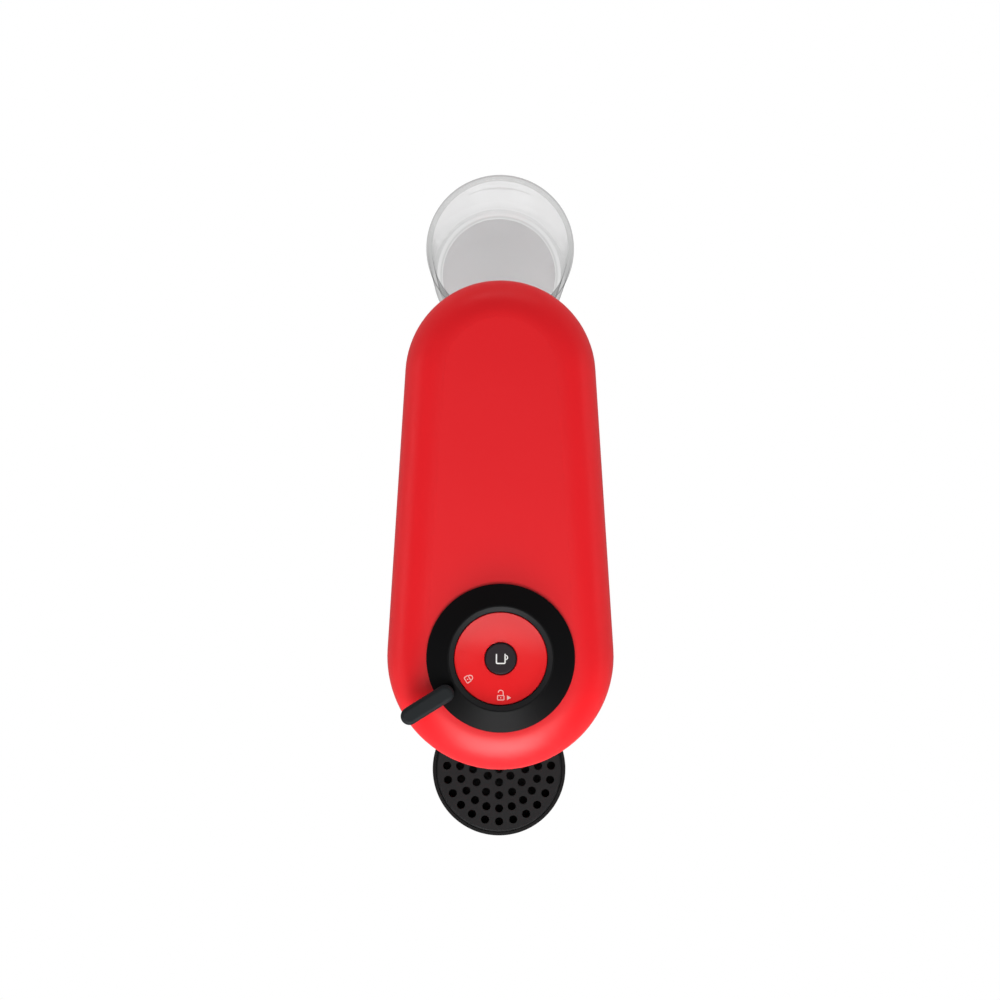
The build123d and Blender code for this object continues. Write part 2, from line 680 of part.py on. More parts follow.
# Coffee collector: a round gutter about the spinning holder, with a spout duct to the outlet.
GUTTER_TOP = DECK_TOP
DUCT_FRONT_Y = OUTLET_Y - OUTLET_RADIUS - SEAT_CLEARANCE
DUCT_REAR_Y = BREW_AXIS_Y - GUTTER_OUTER_RADIUS + GUTTER_WALL / 2
with BuildPart() as coffee_collector:
    add(
        spun(
            [
                (GUTTER_INNER_RADIUS, GUTTER_FLOOR_Z),
                (GUTTER_OUTER_RADIUS, GUTTER_FLOOR_Z),
                (GUTTER_OUTER_RADIUS, GUTTER_TOP - DECK_THICKNESS / 2),
                (GUTTER_OUTER_RADIUS + GUTTER_FLANGE, GUTTER_TOP - DECK_THICKNESS / 2),
                (GUTTER_OUTER_RADIUS + GUTTER_FLANGE, GUTTER_TOP),
                (GUTTER_OUTER_RADIUS - GUTTER_WALL, GUTTER_TOP),
                (GUTTER_OUTER_RADIUS - GUTTER_WALL, GUTTER_FLOOR_Z + GUTTER_WALL),
                (GUTTER_INNER_RADIUS + GUTTER_WALL, GUTTER_FLOOR_Z + GUTTER_WALL),
                (GUTTER_INNER_RADIUS + GUTTER_WALL, GUTTER_FLOOR_Z + GUTTER_INNER_HEIGHT),
                (GUTTER_INNER_RADIUS, GUTTER_FLOOR_Z + GUTTER_INNER_HEIGHT),
            ]
        )
    )
    add(
        block(
            (-SPOUT_WIDTH / 2, SPOUT_WIDTH / 2),
            (DUCT_FRONT_Y, DUCT_REAR_Y),
            (GUTTER_FLOOR_Z, GUTTER_FLOOR_Z + SPOUT_HEIGHT),
        )
    )
    add(
        block(
            (-SPOUT_WIDTH / 2 + SPOUT_WALL, SPOUT_WIDTH / 2 - SPOUT_WALL),
            (DUCT_FRONT_Y + SPOUT_WALL, DUCT_REAR_Y + GUTTER_WALL),
            (GUTTER_FLOOR_Z + SPOUT_WALL, GUTTER_FLOOR_Z + SPOUT_HEIGHT - SPOUT_WALL),
        ),
        mode=Mode.SUBTRACT,
    )
    add(
        rod(OUTLET_BORE_RADIUS, GUTTER_FLOOR_Z, GUTTER_FLOOR_Z + SPOUT_WALL, OUTLET_AXIS),
        mode=Mode.SUBTRACT,
    )

with BuildPart() as coffee_outlet:
    add(
        spun(
            [
                (OUTLET_BORE_RADIUS, OUTLET_TIP_Z),
                (OUTLET_BORE_RADIUS + OUTLET_TIP_WALL, OUTLET_TIP_Z),
                (OUTLET_RADIUS, OUTLET_TIP_Z + OUTLET_TIP_TAPER),
                (OUTLET_RADIUS, GUTTER_FLOOR_Z),
                (OUTLET_BORE_RADIUS, GUTTER_FLOOR_Z),
            ],
            OUTLET_AXIS,
        )
    )

# Motor under the gutter: carrier, housing, stator, rotor, shaft and two bearings.
CARRIER_FLOOR_TOP = CARRIER_FLOOR_Z + BEARING_WIDTH
with BuildPart() as motor_carrier:
    add(
        spun(
            [
                (BEARING_RADIUS, CARRIER_FLOOR_Z),
                (GUTTER_OUTER_RADIUS, CARRIER_FLOOR_Z),
                (GUTTER_OUTER_RADIUS, GUTTER_FLOOR_Z),
                (GUTTER_OUTER_RADIUS - CARRIER_WALL, GUTTER_FLOOR_Z),
                (GUTTER_OUTER_RADIUS - CARRIER_WALL, CARRIER_FLOOR_TOP),
                (BEARING_RADIUS, CARRIER_FLOOR_TOP),
            ]
        )
    )
    with BuildSketch(Plane((0, BREW_AXIS_Y, CARRIER_FLOOR_Z))):
        with PolarLocations((MOTOR_RADIUS + BEARING_RADIUS) / 2, CARRIER_HOLE_COUNT):
            Circle(CARRIER_HOLE_RADIUS)
    extrude(amount=BEARING_WIDTH, mode=Mode.SUBTRACT)

with BuildPart() as motor_housing:
    add(
        spun(
            [
                (BEARING_RADIUS, MOTOR_BOTTOM_Z),
                (MOTOR_RADIUS, MOTOR_BOTTOM_Z),
                (MOTOR_RADIUS, CARRIER_FLOOR_Z),
                (MOTOR_RADIUS - MOTOR_WALL, CARRIER_FLOOR_Z),
                (MOTOR_RADIUS - MOTOR_WALL, MOTOR_BOTTOM_Z + BEARING_WIDTH),
                (BEARING_RADIUS, MOTOR_BOTTOM_Z + BEARING_WIDTH),
            ]
        )
    )

STATOR_LOW = (MOTOR_BOTTOM_Z + BEARING_WIDTH + CARRIER_FLOOR_Z - STATOR_LENGTH) / 2
STATOR_HIGH = STATOR_LOW + STATOR_LENGTH
with BuildPart() as motor_stator:
    add(tube(MOTOR_RADIUS - MOTOR_WALL, STATOR_BORE_RADIUS, STATOR_LOW, STATOR_HIGH))
    with BuildSketch(Plane((0, BREW_AXIS_Y, STATOR_LOW))):
        with PolarLocations((MOTOR_RADIUS - MOTOR_WALL + STATOR_BORE_RADIUS) / 2, STATOR_SLOT_COUNT):
            Circle(STATOR_SLOT_RADIUS)
    extrude(amount=STATOR_LENGTH, mode=Mode.SUBTRACT)

with BuildPart() as motor_rotor:
    add(tube(STATOR_BORE_RADIUS - ROTOR_GAP, SHAFT_RADIUS, STATOR_LOW, STATOR_HIGH))

SHAFT_TOP = HOLDER_BOTTOM_Z + HOLDER_WALL / 2
with BuildPart() as drive_shaft:
    add(rod(SHAFT_RADIUS, MOTOR_BOTTOM_Z, SHAFT_TOP))

with BuildPart() as shaft_bearings:
    for low in (MOTOR_BOTTOM_Z, CARRIER_FLOOR_Z):
        add(tube(BEARING_RADIUS, SHAFT_RADIUS + RUNNING_CLEARANCE, low, low + BEARING_WIDTH))

# Capsule holder: the spinning cup, with a seat for the capsule's rim.
HOLDER_BORE = HOLDER_CUP_RADIUS - HOLDER_WALL
HOLDER_SEAT = HOLDER_TOP - HOLDER_SEAT_DEPTH
with BuildPart() as capsule_holder:
    add(
        spun(
            [
                (0, HOLDER_BOTTOM_Z - HOLDER_BOSS_HEIGHT),
                (HOLDER_BOSS_RADIUS, HOLDER_BOTTOM_Z - HOLDER_BOSS_HEIGHT),
                (HOLDER_BOSS_RADIUS, HOLDER_BOTTOM_Z),
                (HOLDER_CUP_RADIUS - HOLDER_TAPER, HOLDER_BOTTOM_Z),
                (HOLDER_CUP_RADIUS, HOLDER_BOTTOM_Z + HOLDER_TAPER),
                (HOLDER_CUP_RADIUS, HOLDER_TOP - HOLDER_RIM_HEIGHT),
                (HOLDER_RIM_RADIUS, HOLDER_TOP - HOLDER_RIM_HEIGHT),
                (HOLDER_RIM_RADIUS, HOLDER_TOP),
                (HOLDER_RIM_RADIUS - HOLDER_LIP, HOLDER_TOP),
                (HOLDER_RIM_RADIUS - HOLDER_LIP, HOLDER_SEAT),
                (HOLDER_BORE, HOLDER_SEAT),
                (HOLDER_BORE, HOLDER_BOTTOM_Z + HOLDER_TAPER),
                (HOLDER_BORE - HOLDER_TAPER + HOLDER_WALL, HOLDER_BOTTOM_Z + HOLDER_WALL),
                (0, HOLDER_BOTTOM_Z + HOLDER_WALL),
            ]
        )
    )
    add(rod(SHAFT_RADIUS, HOLDER_BOTTOM_Z - HOLDER_BOSS_HEIGHT, SHAFT_TOP), mode=Mode.SUBTRACT)

# Chute that drops the used capsule from the deck into the container.
CHUTE_MID_Y = (CHUTE_FRONT_Y + CHUTE_REAR_Y) / 2
CHUTE_LENGTH = CHUTE_REAR_Y - CHUTE_FRONT_Y
with BuildPart() as capsule_chute:
    with BuildSketch(Plane.XY.offset(CHUTE_BOTTOM_Z)):
        with Locations((0, CHUTE_MID_Y)):
            RectangleRounded(
                CHUTE_WIDTH + 2 * CHUTE_WALL, CHUTE_LENGTH + 2 * CHUTE_WALL, CHUTE_CORNER + CHUTE_WALL
            )
            RectangleRounded(CHUTE_WIDTH, CHUTE_LENGTH, CHUTE_CORNER, mode=Mode.SUBTRACT)
    extrude(amount=DECK_BOTTOM - CHUTE_BOTTOM_Z)

# Optical reader under the deck, beside the gutter.
READER_RADIUS = GUTTER_OUTER_RADIUS + GUTTER_FLANGE + READER_SIZE / 2
READER_PLACE = Location((0, BREW_AXIS_Y, DECK_BOTTOM - READER_SIZE), (0, 0, READER_ANGLE))
with BuildPart() as code_reader:
    with BuildSketch(Plane(READER_PLACE)):
        with Locations((READER_RADIUS, 0)):
            Rectangle(READER_SIZE, READER_SIZE)
    extrude(amount=READER_SIZE)
    chamfer(code_reader.edges().filter_by(Axis.Z), READER_SIZE / 8)

# Used capsule container: a drawer whose front carries on the column's round face.
with BuildPart() as capsule_container:
    with BuildSketch(Plane.XY.offset(CONTAINER_BOTTOM_Z)):
        add(column_outline())
        with Locations((0, CONTAINER_REAR_Y)):
            Rectangle(
                2 * CONTAINER_SIDE,
                CONTAINER_REAR_Y - COLUMN_FRONT_END_Y,
                align=(Align.CENTER, Align.MAX),
                mode=Mode.INTERSECT,
            )
    extrude(amount=CONTAINER_TOP_Z - CONTAINER_BOTTOM_Z)
    with BuildSketch(Plane.XY.offset(CONTAINER_BOTTOM_Z + CONTAINER_WALL)):
        add(column_outline(CONTAINER_WALL))
        with Locations((0, CONTAINER_REAR_Y - CONTAINER_WALL)):
            Rectangle(
                2 * (CONTAINER_SIDE - CONTAINER_WALL),
                CONTAINER_REAR_Y - COLUMN_FRONT_END_Y,
                align=(Align.CENTER, Align.MAX),
                mode=Mode.INTERSECT,
            )
    extrude(amount=CONTAINER_TOP_Z - CONTAINER_BOTTOM_Z, mode=Mode.SUBTRACT)
    with BuildSketch(Plane.XZ.offset(-COLUMN_FRONT_Y)):
        with Locations((0, CONTAINER_TOP_Z)):
            Circle(FINGER_NOTCH_RADIUS)
    extrude(amount=COLUMN_FRONT_RADIUS, mode=Mode.SUBTRACT)

# Drip tray: a tapered cup with a ledge for the grid and a tongue that slides into the column.
TRAY_BORE = TRAY_TOP_RADIUS - TRAY_WALL
GRID_TOP = TRAY_TOP_Z + GRID_PROUD
GRID_SEAT = GRID_TOP - GRID_THICKNESS
TONGUE_BOTTOM = BASE_TOP + SLIDE_CLEARANCE
with BuildPart() as drip_tray:
    add(
        block(
            (-TONGUE_SIDE, TONGUE_SIDE),
            (TRAY_Y, COLUMN_FRONT_END_Y + TONGUE_REACH),
            (TONGUE_BOTTOM, TONGUE_BOTTOM + TONGUE_HEIGHT),
        )
    )
    fillet(drip_tray.edges().filter_by(Axis.Y), TONGUE_CORNER)
    outer_wall = [
        (0, TRAY_FOOT_Z),
        (TRAY_FOOT_RADIUS, TRAY_FOOT_Z),
        (TRAY_TOP_RADIUS, TRAY_TOP_Z),
        (0, TRAY_TOP_Z),
    ]
    inner_wall = [
        (0, TRAY_FOOT_Z + TRAY_FLOOR),
        (TRAY_FOOT_RADIUS - TRAY_WALL, TRAY_FOOT_Z + TRAY_FLOOR),
        (TRAY_BORE - GRID_LEDGE_WIDTH, GRID_SEAT),
        (TRAY_BORE, GRID_SEAT),
        (TRAY_BORE, TRAY_TOP_Z),
        (0, TRAY_TOP_Z),
    ]
    add(spun(outer_wall, TRAY_AXIS))
    add(spun(inner_wall, TRAY_AXIS), mode=Mode.SUBTRACT)

with BuildPart() as tray_pads:
    with BuildSketch(Plane((0, TRAY_Y, 0))):
        with PolarLocations(TRAY_FOOT_RADIUS - FOOT_RADIUS, TRAY_PAD_COUNT):
            Circle(FOOT_RADIUS - FOOT_CHAMFER)
    extrude(amount=TRAY_FOOT_Z)

# Drip grid: a round plate with rings of holes about its middle hole.
with BuildPart() as drip_grid:
    add(rod(TRAY_BORE - SLIDE_CLEARANCE, GRID_SEAT, GRID_TOP, TRAY_AXIS))
    fillet(drip_grid.edges().filter_by_position(Axis.Z, GRID_TOP, GRID_TOP), GRID_EDGE_RADIUS)
    with BuildSketch(Plane((0, TRAY_Y, GRID_SEAT))):
        Circle(GRID_HOLE_RADIUS)
        for ring, count in enumerate(GRID_RING_COUNTS, start=1):
            with PolarLocations(GRID_RING_PITCH * ring, count, start_angle=-90):
                Circle(GRID_HOLE_RADIUS)
    extrude(amount=GRID_THICKNESS, mode=Mode.SUBTRACT)

# Clear water tank with a rolled rim, and the dock that it stands on.
with BuildPart() as water_tank:
    add(
        spun(
            [
                (0, TANK_BOTTOM_Z),
                (TANK_FOOT_RADIUS, TANK_BOTTOM_Z),
                (TANK_TOP_RADIUS, TANK_RIM_Z - TANK_RIM_HEIGHT),
                (TANK_TOP_RADIUS + TANK_RIM_OVERHANG, TANK_RIM_Z - TANK_RIM_HEIGHT + TANK_RIM_OVERHANG),
                (TANK_TOP_RADIUS + TANK_RIM_OVERHANG, TANK_RIM_Z),
                (0, TANK_RIM_Z),
            ],
            TANK_AXIS,
        )
    )
    fillet(water_tank.edges().filter_by_position(Axis.Z, TANK_BOTTOM_Z, TANK_BOTTOM_Z), TANK_FLOOR_FILLET)
    with BuildPart(mode=Mode.PRIVATE) as tank_inside:
        add(
            spun(
                [
                    (0, TANK_BOTTOM_Z + TANK_FLOOR),
                    (TANK_FOOT_RADIUS - TANK_WALL, TANK_BOTTOM_Z + TANK_FLOOR),
                    (TANK_TOP_RADIUS - TANK_WALL, TANK_RIM_Z),
                    (0, TANK_RIM_Z),
                ],
                TANK_AXIS,
            )
        )
        floor_edge = tank_inside.edges().filter_by(GeomType.CIRCLE).sort_by(Axis.Z)[0]
        fillet(floor_edge, TANK_FLOOR_FILLET)
    add(tank_inside.part, mode=Mode.SUBTRACT)
    fillet(water_tank.edges().filter_by_position(Axis.Z, TANK_RIM_Z, TANK_RIM_Z), TANK_RIM_FILLET)
    add(rod(SPIGOT_RADIUS, 0, TANK_Y, SPIGOT_AXIS), mode=Mode.SUBTRACT)

DOCK_TOP = TANK_BOTTOM_Z - 2 * SEAT_CLEARANCE
with BuildPart() as tank_dock:
    dock_inside = DOCK_RADIUS - DOCK_WALL
    add(
        spun(
            [
                (dock_inside, BASE_TOP),
                (DOCK_RADIUS, BASE_TOP),
                (DOCK_RADIUS, DOCK_TOP),
                (0, DOCK_TOP),
                (0, DOCK_TOP - DOCK_WALL),
                (dock_inside, DOCK_TOP - DOCK_WALL),
            ],
            TANK_AXIS,
        )
    )

# Spigot in the tank's front wall, with its check valve held open by the socket's probe.
SPIGOT_NOSE_Y = TANK_FRONT_Y - SPIGOT_REACH
SPIGOT_END_Y = TANK_FRONT_Y + 2 * TANK_WALL
SPIDER_Y = TANK_FRONT_Y - SPIDER_BACKSET
STEM_TIP_Y = SPIGOT_NOSE_Y + STEM_RECESS
VALVE_DISC_Y = SPIGOT_END_Y + VALVE_LIFT
SPRING_SEAT_Y = STEM_TIP_Y + VALVE_DISC_THICKNESS
with BuildPart() as tank_spigot:
    add(
        spun(
            [
                (SPIGOT_BORE_RADIUS, SPIGOT_NOSE_Y),
                (SPIGOT_RADIUS, SPIGOT_NOSE_Y),
                (SPIGOT_RADIUS, TANK_FRONT_Y - SPIGOT_FLANGE - SEAT_CLEARANCE),
                (SPIGOT_RADIUS + SPIGOT_FLANGE, TANK_FRONT_Y - SPIGOT_FLANGE - SEAT_CLEARANCE),
                (SPIGOT_RADIUS + SPIGOT_FLANGE, TANK_FRONT_Y - SEAT_CLEARANCE),
                (SPIGOT_RADIUS, TANK_FRONT_Y - SEAT_CLEARANCE),
                (SPIGOT_RADIUS, SPIGOT_END_Y),
                (SPIGOT_BORE_RADIUS, SPIGOT_END_Y),
            ],
            SPIGOT_AXIS,
        )
    )
    stem_bore = VALVE_STEM_RADIUS + RUNNING_CLEARANCE
    add(tube(SPIGOT_RADIUS, stem_bore, SPIDER_Y, SPIDER_Y + SPIDER_THICKNESS, SPIGOT_AXIS))
    with BuildSketch(SPIGOT_AXIS.offset(SPIDER_Y)):
        with PolarLocations((VALVE_STEM_RADIUS + SPIGOT_BORE_RADIUS) / 2, FLOW_HOLE_COUNT):
            Circle(FLOW_HOLE_RADIUS)
    extrude(amount=SPIDER_THICKNESS, mode=Mode.SUBTRACT)

with BuildPart() as valve_plunger:
    add(rod(VALVE_STEM_RADIUS, STEM_TIP_Y, VALVE_DISC_Y, SPIGOT_AXIS))
    add(rod(VALVE_DISC_RADIUS, VALVE_DISC_Y, VALVE_DISC_Y + VALVE_DISC_THICKNESS, SPIGOT_AXIS))
    add(rod(VALVE_COLLAR_RADIUS, STEM_TIP_Y, SPRING_SEAT_Y, SPIGOT_AXIS))

with BuildPart() as valve_spring:
    add(
        coil(
            (VALVE_STEM_RADIUS + VALVE_COLLAR_RADIUS) / 2,
            VALVE_SPRING_WIRE / 2,
            VALVE_SPRING_TURNS,
            SPRING_SEAT_Y,
            SPIDER_Y,
            SPIGOT_AXIS,
        )
    )

# Socket in the column's rear wall, with a ring seal round the spigot and a probe for the valve.
SOCKET_FLOOR_Y = SPIGOT_NOSE_Y - SOCKET_END_GAP
SOCKET_BACK_Y = SOCKET_FLOOR_Y - SOCKET_BACK
SEAL_Y = (SPIGOT_NOSE_Y + SOCKET_MOUTH_Y) / 2
GROOVE_RADIUS = SPIGOT_RADIUS + 2 * SEAL_WIRE_RADIUS + SEAT_CLEARANCE
GROOVE_SIDE = SEAL_WIRE_RADIUS + SEAT_CLEARANCE
with BuildPart() as tank_socket:
    add(
        spun(
            [
                (SOCKET_BORE_RADIUS, SOCKET_BACK_Y - SOCKET_STUB),
                (SOCKET_STUB_RADIUS, SOCKET_BACK_Y - SOCKET_STUB),
                (SOCKET_STUB_RADIUS, SOCKET_BACK_Y - SOCKET_BACK),
                (SOCKET_RADIUS, SOCKET_BACK_Y - SOCKET_BACK),
                (SOCKET_RADIUS, SOCKET_MOUTH_Y),
                (SPIGOT_RADIUS + SLIDE_CLEARANCE, SOCKET_MOUTH_Y),
                (SPIGOT_RADIUS + SLIDE_CLEARANCE, SEAL_Y + GROOVE_SIDE),
                (GROOVE_RADIUS, SEAL_Y + GROOVE_SIDE),
                (GROOVE_RADIUS, SEAL_Y - GROOVE_SIDE),
                (SPIGOT_RADIUS + SLIDE_CLEARANCE, SEAL_Y - GROOVE_SIDE),
                (SPIGOT_RADIUS + SLIDE_CLEARANCE, SOCKET_FLOOR_Y),
                (0, SOCKET_FLOOR_Y),
                (0, SOCKET_BACK_Y),
                (SOCKET_BORE_RADIUS, SOCKET_BACK_Y),
            ],
            SPIGOT_AXIS,
        )
    )
    add(rod(PROBE_RADIUS, SOCKET_BACK_Y, STEM_TIP_Y - SEAT_CLEARANCE, SPIGOT_AXIS))
    with BuildSketch(SPIGOT_AXIS.offset(SOCKET_BACK_Y)):
        with PolarLocations((PROBE_RADIUS + SOCKET_BORE_RADIUS) / 2, FLOW_HOLE_COUNT):
            Circle(FLOW_HOLE_RADIUS)
    extrude(amount=SOCKET_BACK, mode=Mode.SUBTRACT)

with BuildPart() as socket_seal:
    with Locations(SPIGOT_AXIS.offset(SEAL_Y).location):
        Torus(SPIGOT_RADIUS + SEAL_WIRE_RADIUS + SEAT_CLEARANCE, SEAL_WIRE_RADIUS)

# Water circuit behind the partition: meter, pump, heater and their hoses.
METER_INLET_Y = SOCKET_BACK_Y - SOCKET_STUB
NIPPLE_RADIUS = HOSE_BORE_RADIUS
with BuildPart() as flow_meter:
    meter_axis = Plane((0, METER_Y, SPIGOT_Z))
    add(rod(METER_RADIUS, -METER_HEIGHT / 2, METER_HEIGHT / 2, meter_axis))
    add(rod(METER_RADIUS / 2, BASE_TOP - SPIGOT_Z, 0, meter_axis))
    add(rod(SOCKET_STUB_RADIUS, METER_Y, METER_INLET_Y, SPIGOT_AXIS))
    outlet_axis = Plane(origin=(0, METER_Y, SPIGOT_Z), x_dir=(0, 1, 0), z_dir=(-1, 0, 0))
    add(rod(NIPPLE_RADIUS, 0, -PUMP_X - HOSE_BEND, outlet_axis))

CRADLE_TOP = BASE_TOP + PUMP_CRADLE_HEIGHT
PUMP_INLET_Z = CRADLE_TOP + PUMP_FOOT_HEIGHT / 2
COIL_LOW = CRADLE_TOP + PUMP_FOOT_HEIGHT
COIL_HIGH = COIL_LOW + PUMP_COIL_SIZE
PUMP_TOP = COIL_HIGH + PUMP_HEAD_HEIGHT
PUMP_AXIS = Plane((PUMP_X, PUMP_Y, 0))
PUMP_INLET_AXIS = Plane(origin=(PUMP_X, PUMP_Y, PUMP_INLET_Z), x_dir=(1, 0, 0), z_dir=(0, 1, 0))
with BuildPart() as water_pump:
    add(rod(PUMP_FOOT_RADIUS, CRADLE_TOP, COIL_LOW, PUMP_AXIS))
    with BuildSketch(Plane((PUMP_X, PUMP_Y, COIL_LOW))):
        RectangleRounded(PUMP_COIL_SIZE, PUMP_COIL_SIZE, PUMP_CORNER)
    extrude(amount=PUMP_COIL_SIZE)
    add(rod(PUMP_HEAD_RADIUS, COIL_HIGH, PUMP_TOP, PUMP_AXIS))
    add(rod(NIPPLE_RADIUS, PUMP_TOP, PUMP_TOP + NIPPLE_LENGTH, PUMP_AXIS))
    add(rod(NIPPLE_RADIUS, 0, PUMP_FOOT_RADIUS + NIPPLE_LENGTH, PUMP_INLET_AXIS))

with BuildPart() as pump_cradle:
    with BuildSketch(Plane((PUMP_X, PUMP_Y, BASE_TOP))):
        RectangleRounded(2 * PUMP_FOOT_RADIUS, 2 * PUMP_FOOT_RADIUS, PUMP_CORNER)
        Circle(PUMP_HEAD_RADIUS / 2, mode=Mode.SUBTRACT)
    extrude(amount=PUMP_CRADLE_HEIGHT)

STAND_TOP = BASE_TOP + HEATER_STAND_HEIGHT
HEATER_TOP = STAND_TOP + HEATER_HEIGHT
HEATER_INLET = Plane((HEATER_X, HEATER_Y - HEATER_PORT_PITCH / 2, 0))
HEATER_OUTLET = Plane((HEATER_X, HEATER_Y + HEATER_PORT_PITCH / 2, 0))
with BuildPart() as water_heater:
    with BuildSketch(Plane((HEATER_X, HEATER_Y, STAND_TOP))):
        RectangleRounded(HEATER_WIDTH, HEATER_LENGTH, PUMP_CORNER)
        with GridLocations(HEATER_WIDTH, HEATER_LENGTH / HEATER_GROOVE_COUNT, 2, HEATER_GROOVE_COUNT - 1):
            Rectangle(HEATER_GROOVE, HEATER_GROOVE, mode=Mode.SUBTRACT)
    extrude(amount=HEATER_HEIGHT)
    for port in (HEATER_INLET, HEATER_OUTLET):
        add(rod(NIPPLE_RADIUS, HEATER_TOP, HEATER_TOP + NIPPLE_LENGTH, port))

with BuildPart() as heater_stand:
    with BuildSketch(Plane.XZ.offset(-HEATER_Y)):
        with Locations((HEATER_X, BASE_TOP)):
            Rectangle(HEATER_WIDTH, HEATER_STAND_HEIGHT, align=(Align.CENTER, Align.MIN))
            Rectangle(
                HEATER_WIDTH - 2 * SHEET,
                HEATER_STAND_HEIGHT - SHEET,
                align=(Align.CENTER, Align.MIN),
                mode=Mode.SUBTRACT,
            )
    extrude(amount=HEATER_LENGTH / 4, both=True)

BOARD_FACE_Y = PARTITION_Y + FRAME_WALL / 2
BOARD_MID_Z = BOARD_BOTTOM_Z + BOARD_HEIGHT / 2
BOARD_PLANE = Plane(origin=(0, BOARD_FACE_Y, BOARD_MID_Z), x_dir=(1, 0, 0), z_dir=(0, 1, 0))
BOARD_FRONT = STANDOFF_LENGTH + BOARD_THICKNESS
with BuildPart() as control_board:
    with BuildSketch(BOARD_PLANE.offset(STANDOFF_LENGTH)):
        RectangleRounded(BOARD_WIDTH, BOARD_HEIGHT, STANDOFF_RADIUS)
    extrude(amount=BOARD_THICKNESS)
    with BuildSketch(BOARD_PLANE):
        with GridLocations(BOARD_WIDTH - 4 * STANDOFF_RADIUS, BOARD_HEIGHT - 4 * STANDOFF_RADIUS, 2, 2):
            Circle(STANDOFF_RADIUS)
    extrude(amount=STANDOFF_LENGTH)
    with BuildSketch(BOARD_PLANE.offset(BOARD_FRONT)):
        Rectangle(BOARD_WIDTH / 4, BOARD_HEIGHT / 4)
        with GridLocations(BOARD_WIDTH / 2, BOARD_HEIGHT / 2, 2, 2):
            Circle(2 * STANDOFF_RADIUS)
    extrude(amount=2 * STANDOFF_LENGTH)

HOSE_START = NIPPLE_LENGTH / 4
with BuildPart() as suction_hose:
    add(
        hose(
            [
                (-METER_RADIUS - HOSE_START, METER_Y, SPIGOT_Z),
                (PUMP_X, METER_Y, SPIGOT_Z),
                (PUMP_X, METER_Y, PUMP_INLET_Z),
                (PUMP_X, PUMP_Y + PUMP_FOOT_RADIUS + HOSE_START, PUMP_INLET_Z),
            ],
            HOSE_BEND,
        )
    )

HOSE_ARCH_Z = PUMP_TOP + NIPPLE_LENGTH + 2 * HOSE_BEND
with BuildPart() as pressure_hose:
    add(
        hose(
            [
                (PUMP_X, PUMP_Y, PUMP_TOP + HOSE_START),
                (PUMP_X, PUMP_Y, HOSE_ARCH_Z),
                (HEATER_X, HEATER_INLET.origin.Y, HOSE_ARCH_Z),
                (HEATER_X, HEATER_INLET.origin.Y, HEATER_TOP + HOSE_START),
            ],
            HOSE_BEND,
        )
    )

SWIVEL_X = EAR_OUTER + SWIVEL_WIDTH / 2
HOSE_CLIP_Y = BRACKET_FRONT_Y - HOSE_START / 4
with BuildPart() as hot_hose:
    add(
        hose(
            [
                (HEATER_X, HEATER_OUTLET.origin.Y, HEATER_TOP + HOSE_START),
                (HEATER_X, HEATER_OUTLET.origin.Y, HINGE_Z),
                (SWIVEL_X, HOT_HOSE_TURN_Y, HINGE_Z),
                (SWIVEL_X, HOSE_CLIP_Y, HINGE_Z),
            ],
            HOSE_BEND,
        )
    )

# Gland for the mains lead, low on the column's rear.
with BuildPart() as cord_gland:
    add(
        spun(
            [
                (GLAND_BORE_RADIUS, -GLAND_LENGTH / 2),
                (GLAND_RADIUS, -GLAND_LENGTH / 2),
                (GLAND_RADIUS, 0),
                (GLAND_RADIUS + GLAND_FLANGE, 0),
                (GLAND_RADIUS + GLAND_FLANGE, GLAND_FLANGE),
                (GLAND_RADIUS, GLAND_FLANGE),
                (GLAND_BORE_RADIUS + GLAND_FLANGE / 2, GLAND_LENGTH),
                (GLAND_BORE_RADIUS, GLAND_LENGTH),
            ],
            GLAND_PLANE,
        )
    )

# Hinge in the well behind the deck: bracket, pin, and the swivel that passes the hot water.
with BuildPart() as hinge_bracket:
    for side in (-1, 1):
        with BuildSketch(HINGE_AXIS.offset(side * (EAR_INNER + EAR_WIDTH / 2))):
            Circle(KNUCKLE_RADIUS)
            with Locations((BRACKET_FRONT_Y - HINGE_Y, LIP_FLOOR - HINGE_Z)):
                Rectangle(
                    HINGE_Y + KNUCKLE_RADIUS - BRACKET_FRONT_Y,
                    BRACKET_THICKNESS,
                    align=(Align.MIN, Align.MIN),
                )
            make_hull()
        extrude(amount=EAR_WIDTH / 2, both=True)
    add(
        block(
            (-EAR_OUTER - BRACKET_TOE, EAR_OUTER + BRACKET_TOE),
            (BRACKET_FRONT_Y, HINGE_Y - KNUCKLE_RADIUS - HINGE_SIDE_GAP),
            (LIP_FLOOR, LIP_FLOOR + BRACKET_THICKNESS),
        )
    )
    add(rod(HINGE_PIN_RADIUS, -EAR_OUTER, EAR_OUTER, HINGE_AXIS), mode=Mode.SUBTRACT)

PIN_END = EAR_OUTER + 2 * SWIVEL_WIDTH + 3 * HINGE_SIDE_GAP
with BuildPart() as hinge_pin:
    add(rod(HINGE_PIN_RADIUS, -EAR_OUTER - HINGE_SIDE_GAP, PIN_END, HINGE_AXIS))

with BuildPart() as water_swivel:
    add(tube(SWIVEL_RADIUS, HINGE_PIN_RADIUS, EAR_OUTER, EAR_OUTER + SWIVEL_WIDTH, HINGE_AXIS))
    nipple_axis = Plane(origin=(SWIVEL_X, HINGE_Y, HINGE_Z), x_dir=(1, 0, 0), z_dir=(0, -1, 0))
    nipple_end = HINGE_Y - HOSE_CLIP_Y + NIPPLE_LENGTH
    add(rod(NIPPLE_RADIUS, HINGE_PIN_RADIUS + SWIVEL_WALL, nipple_end, nipple_axis))

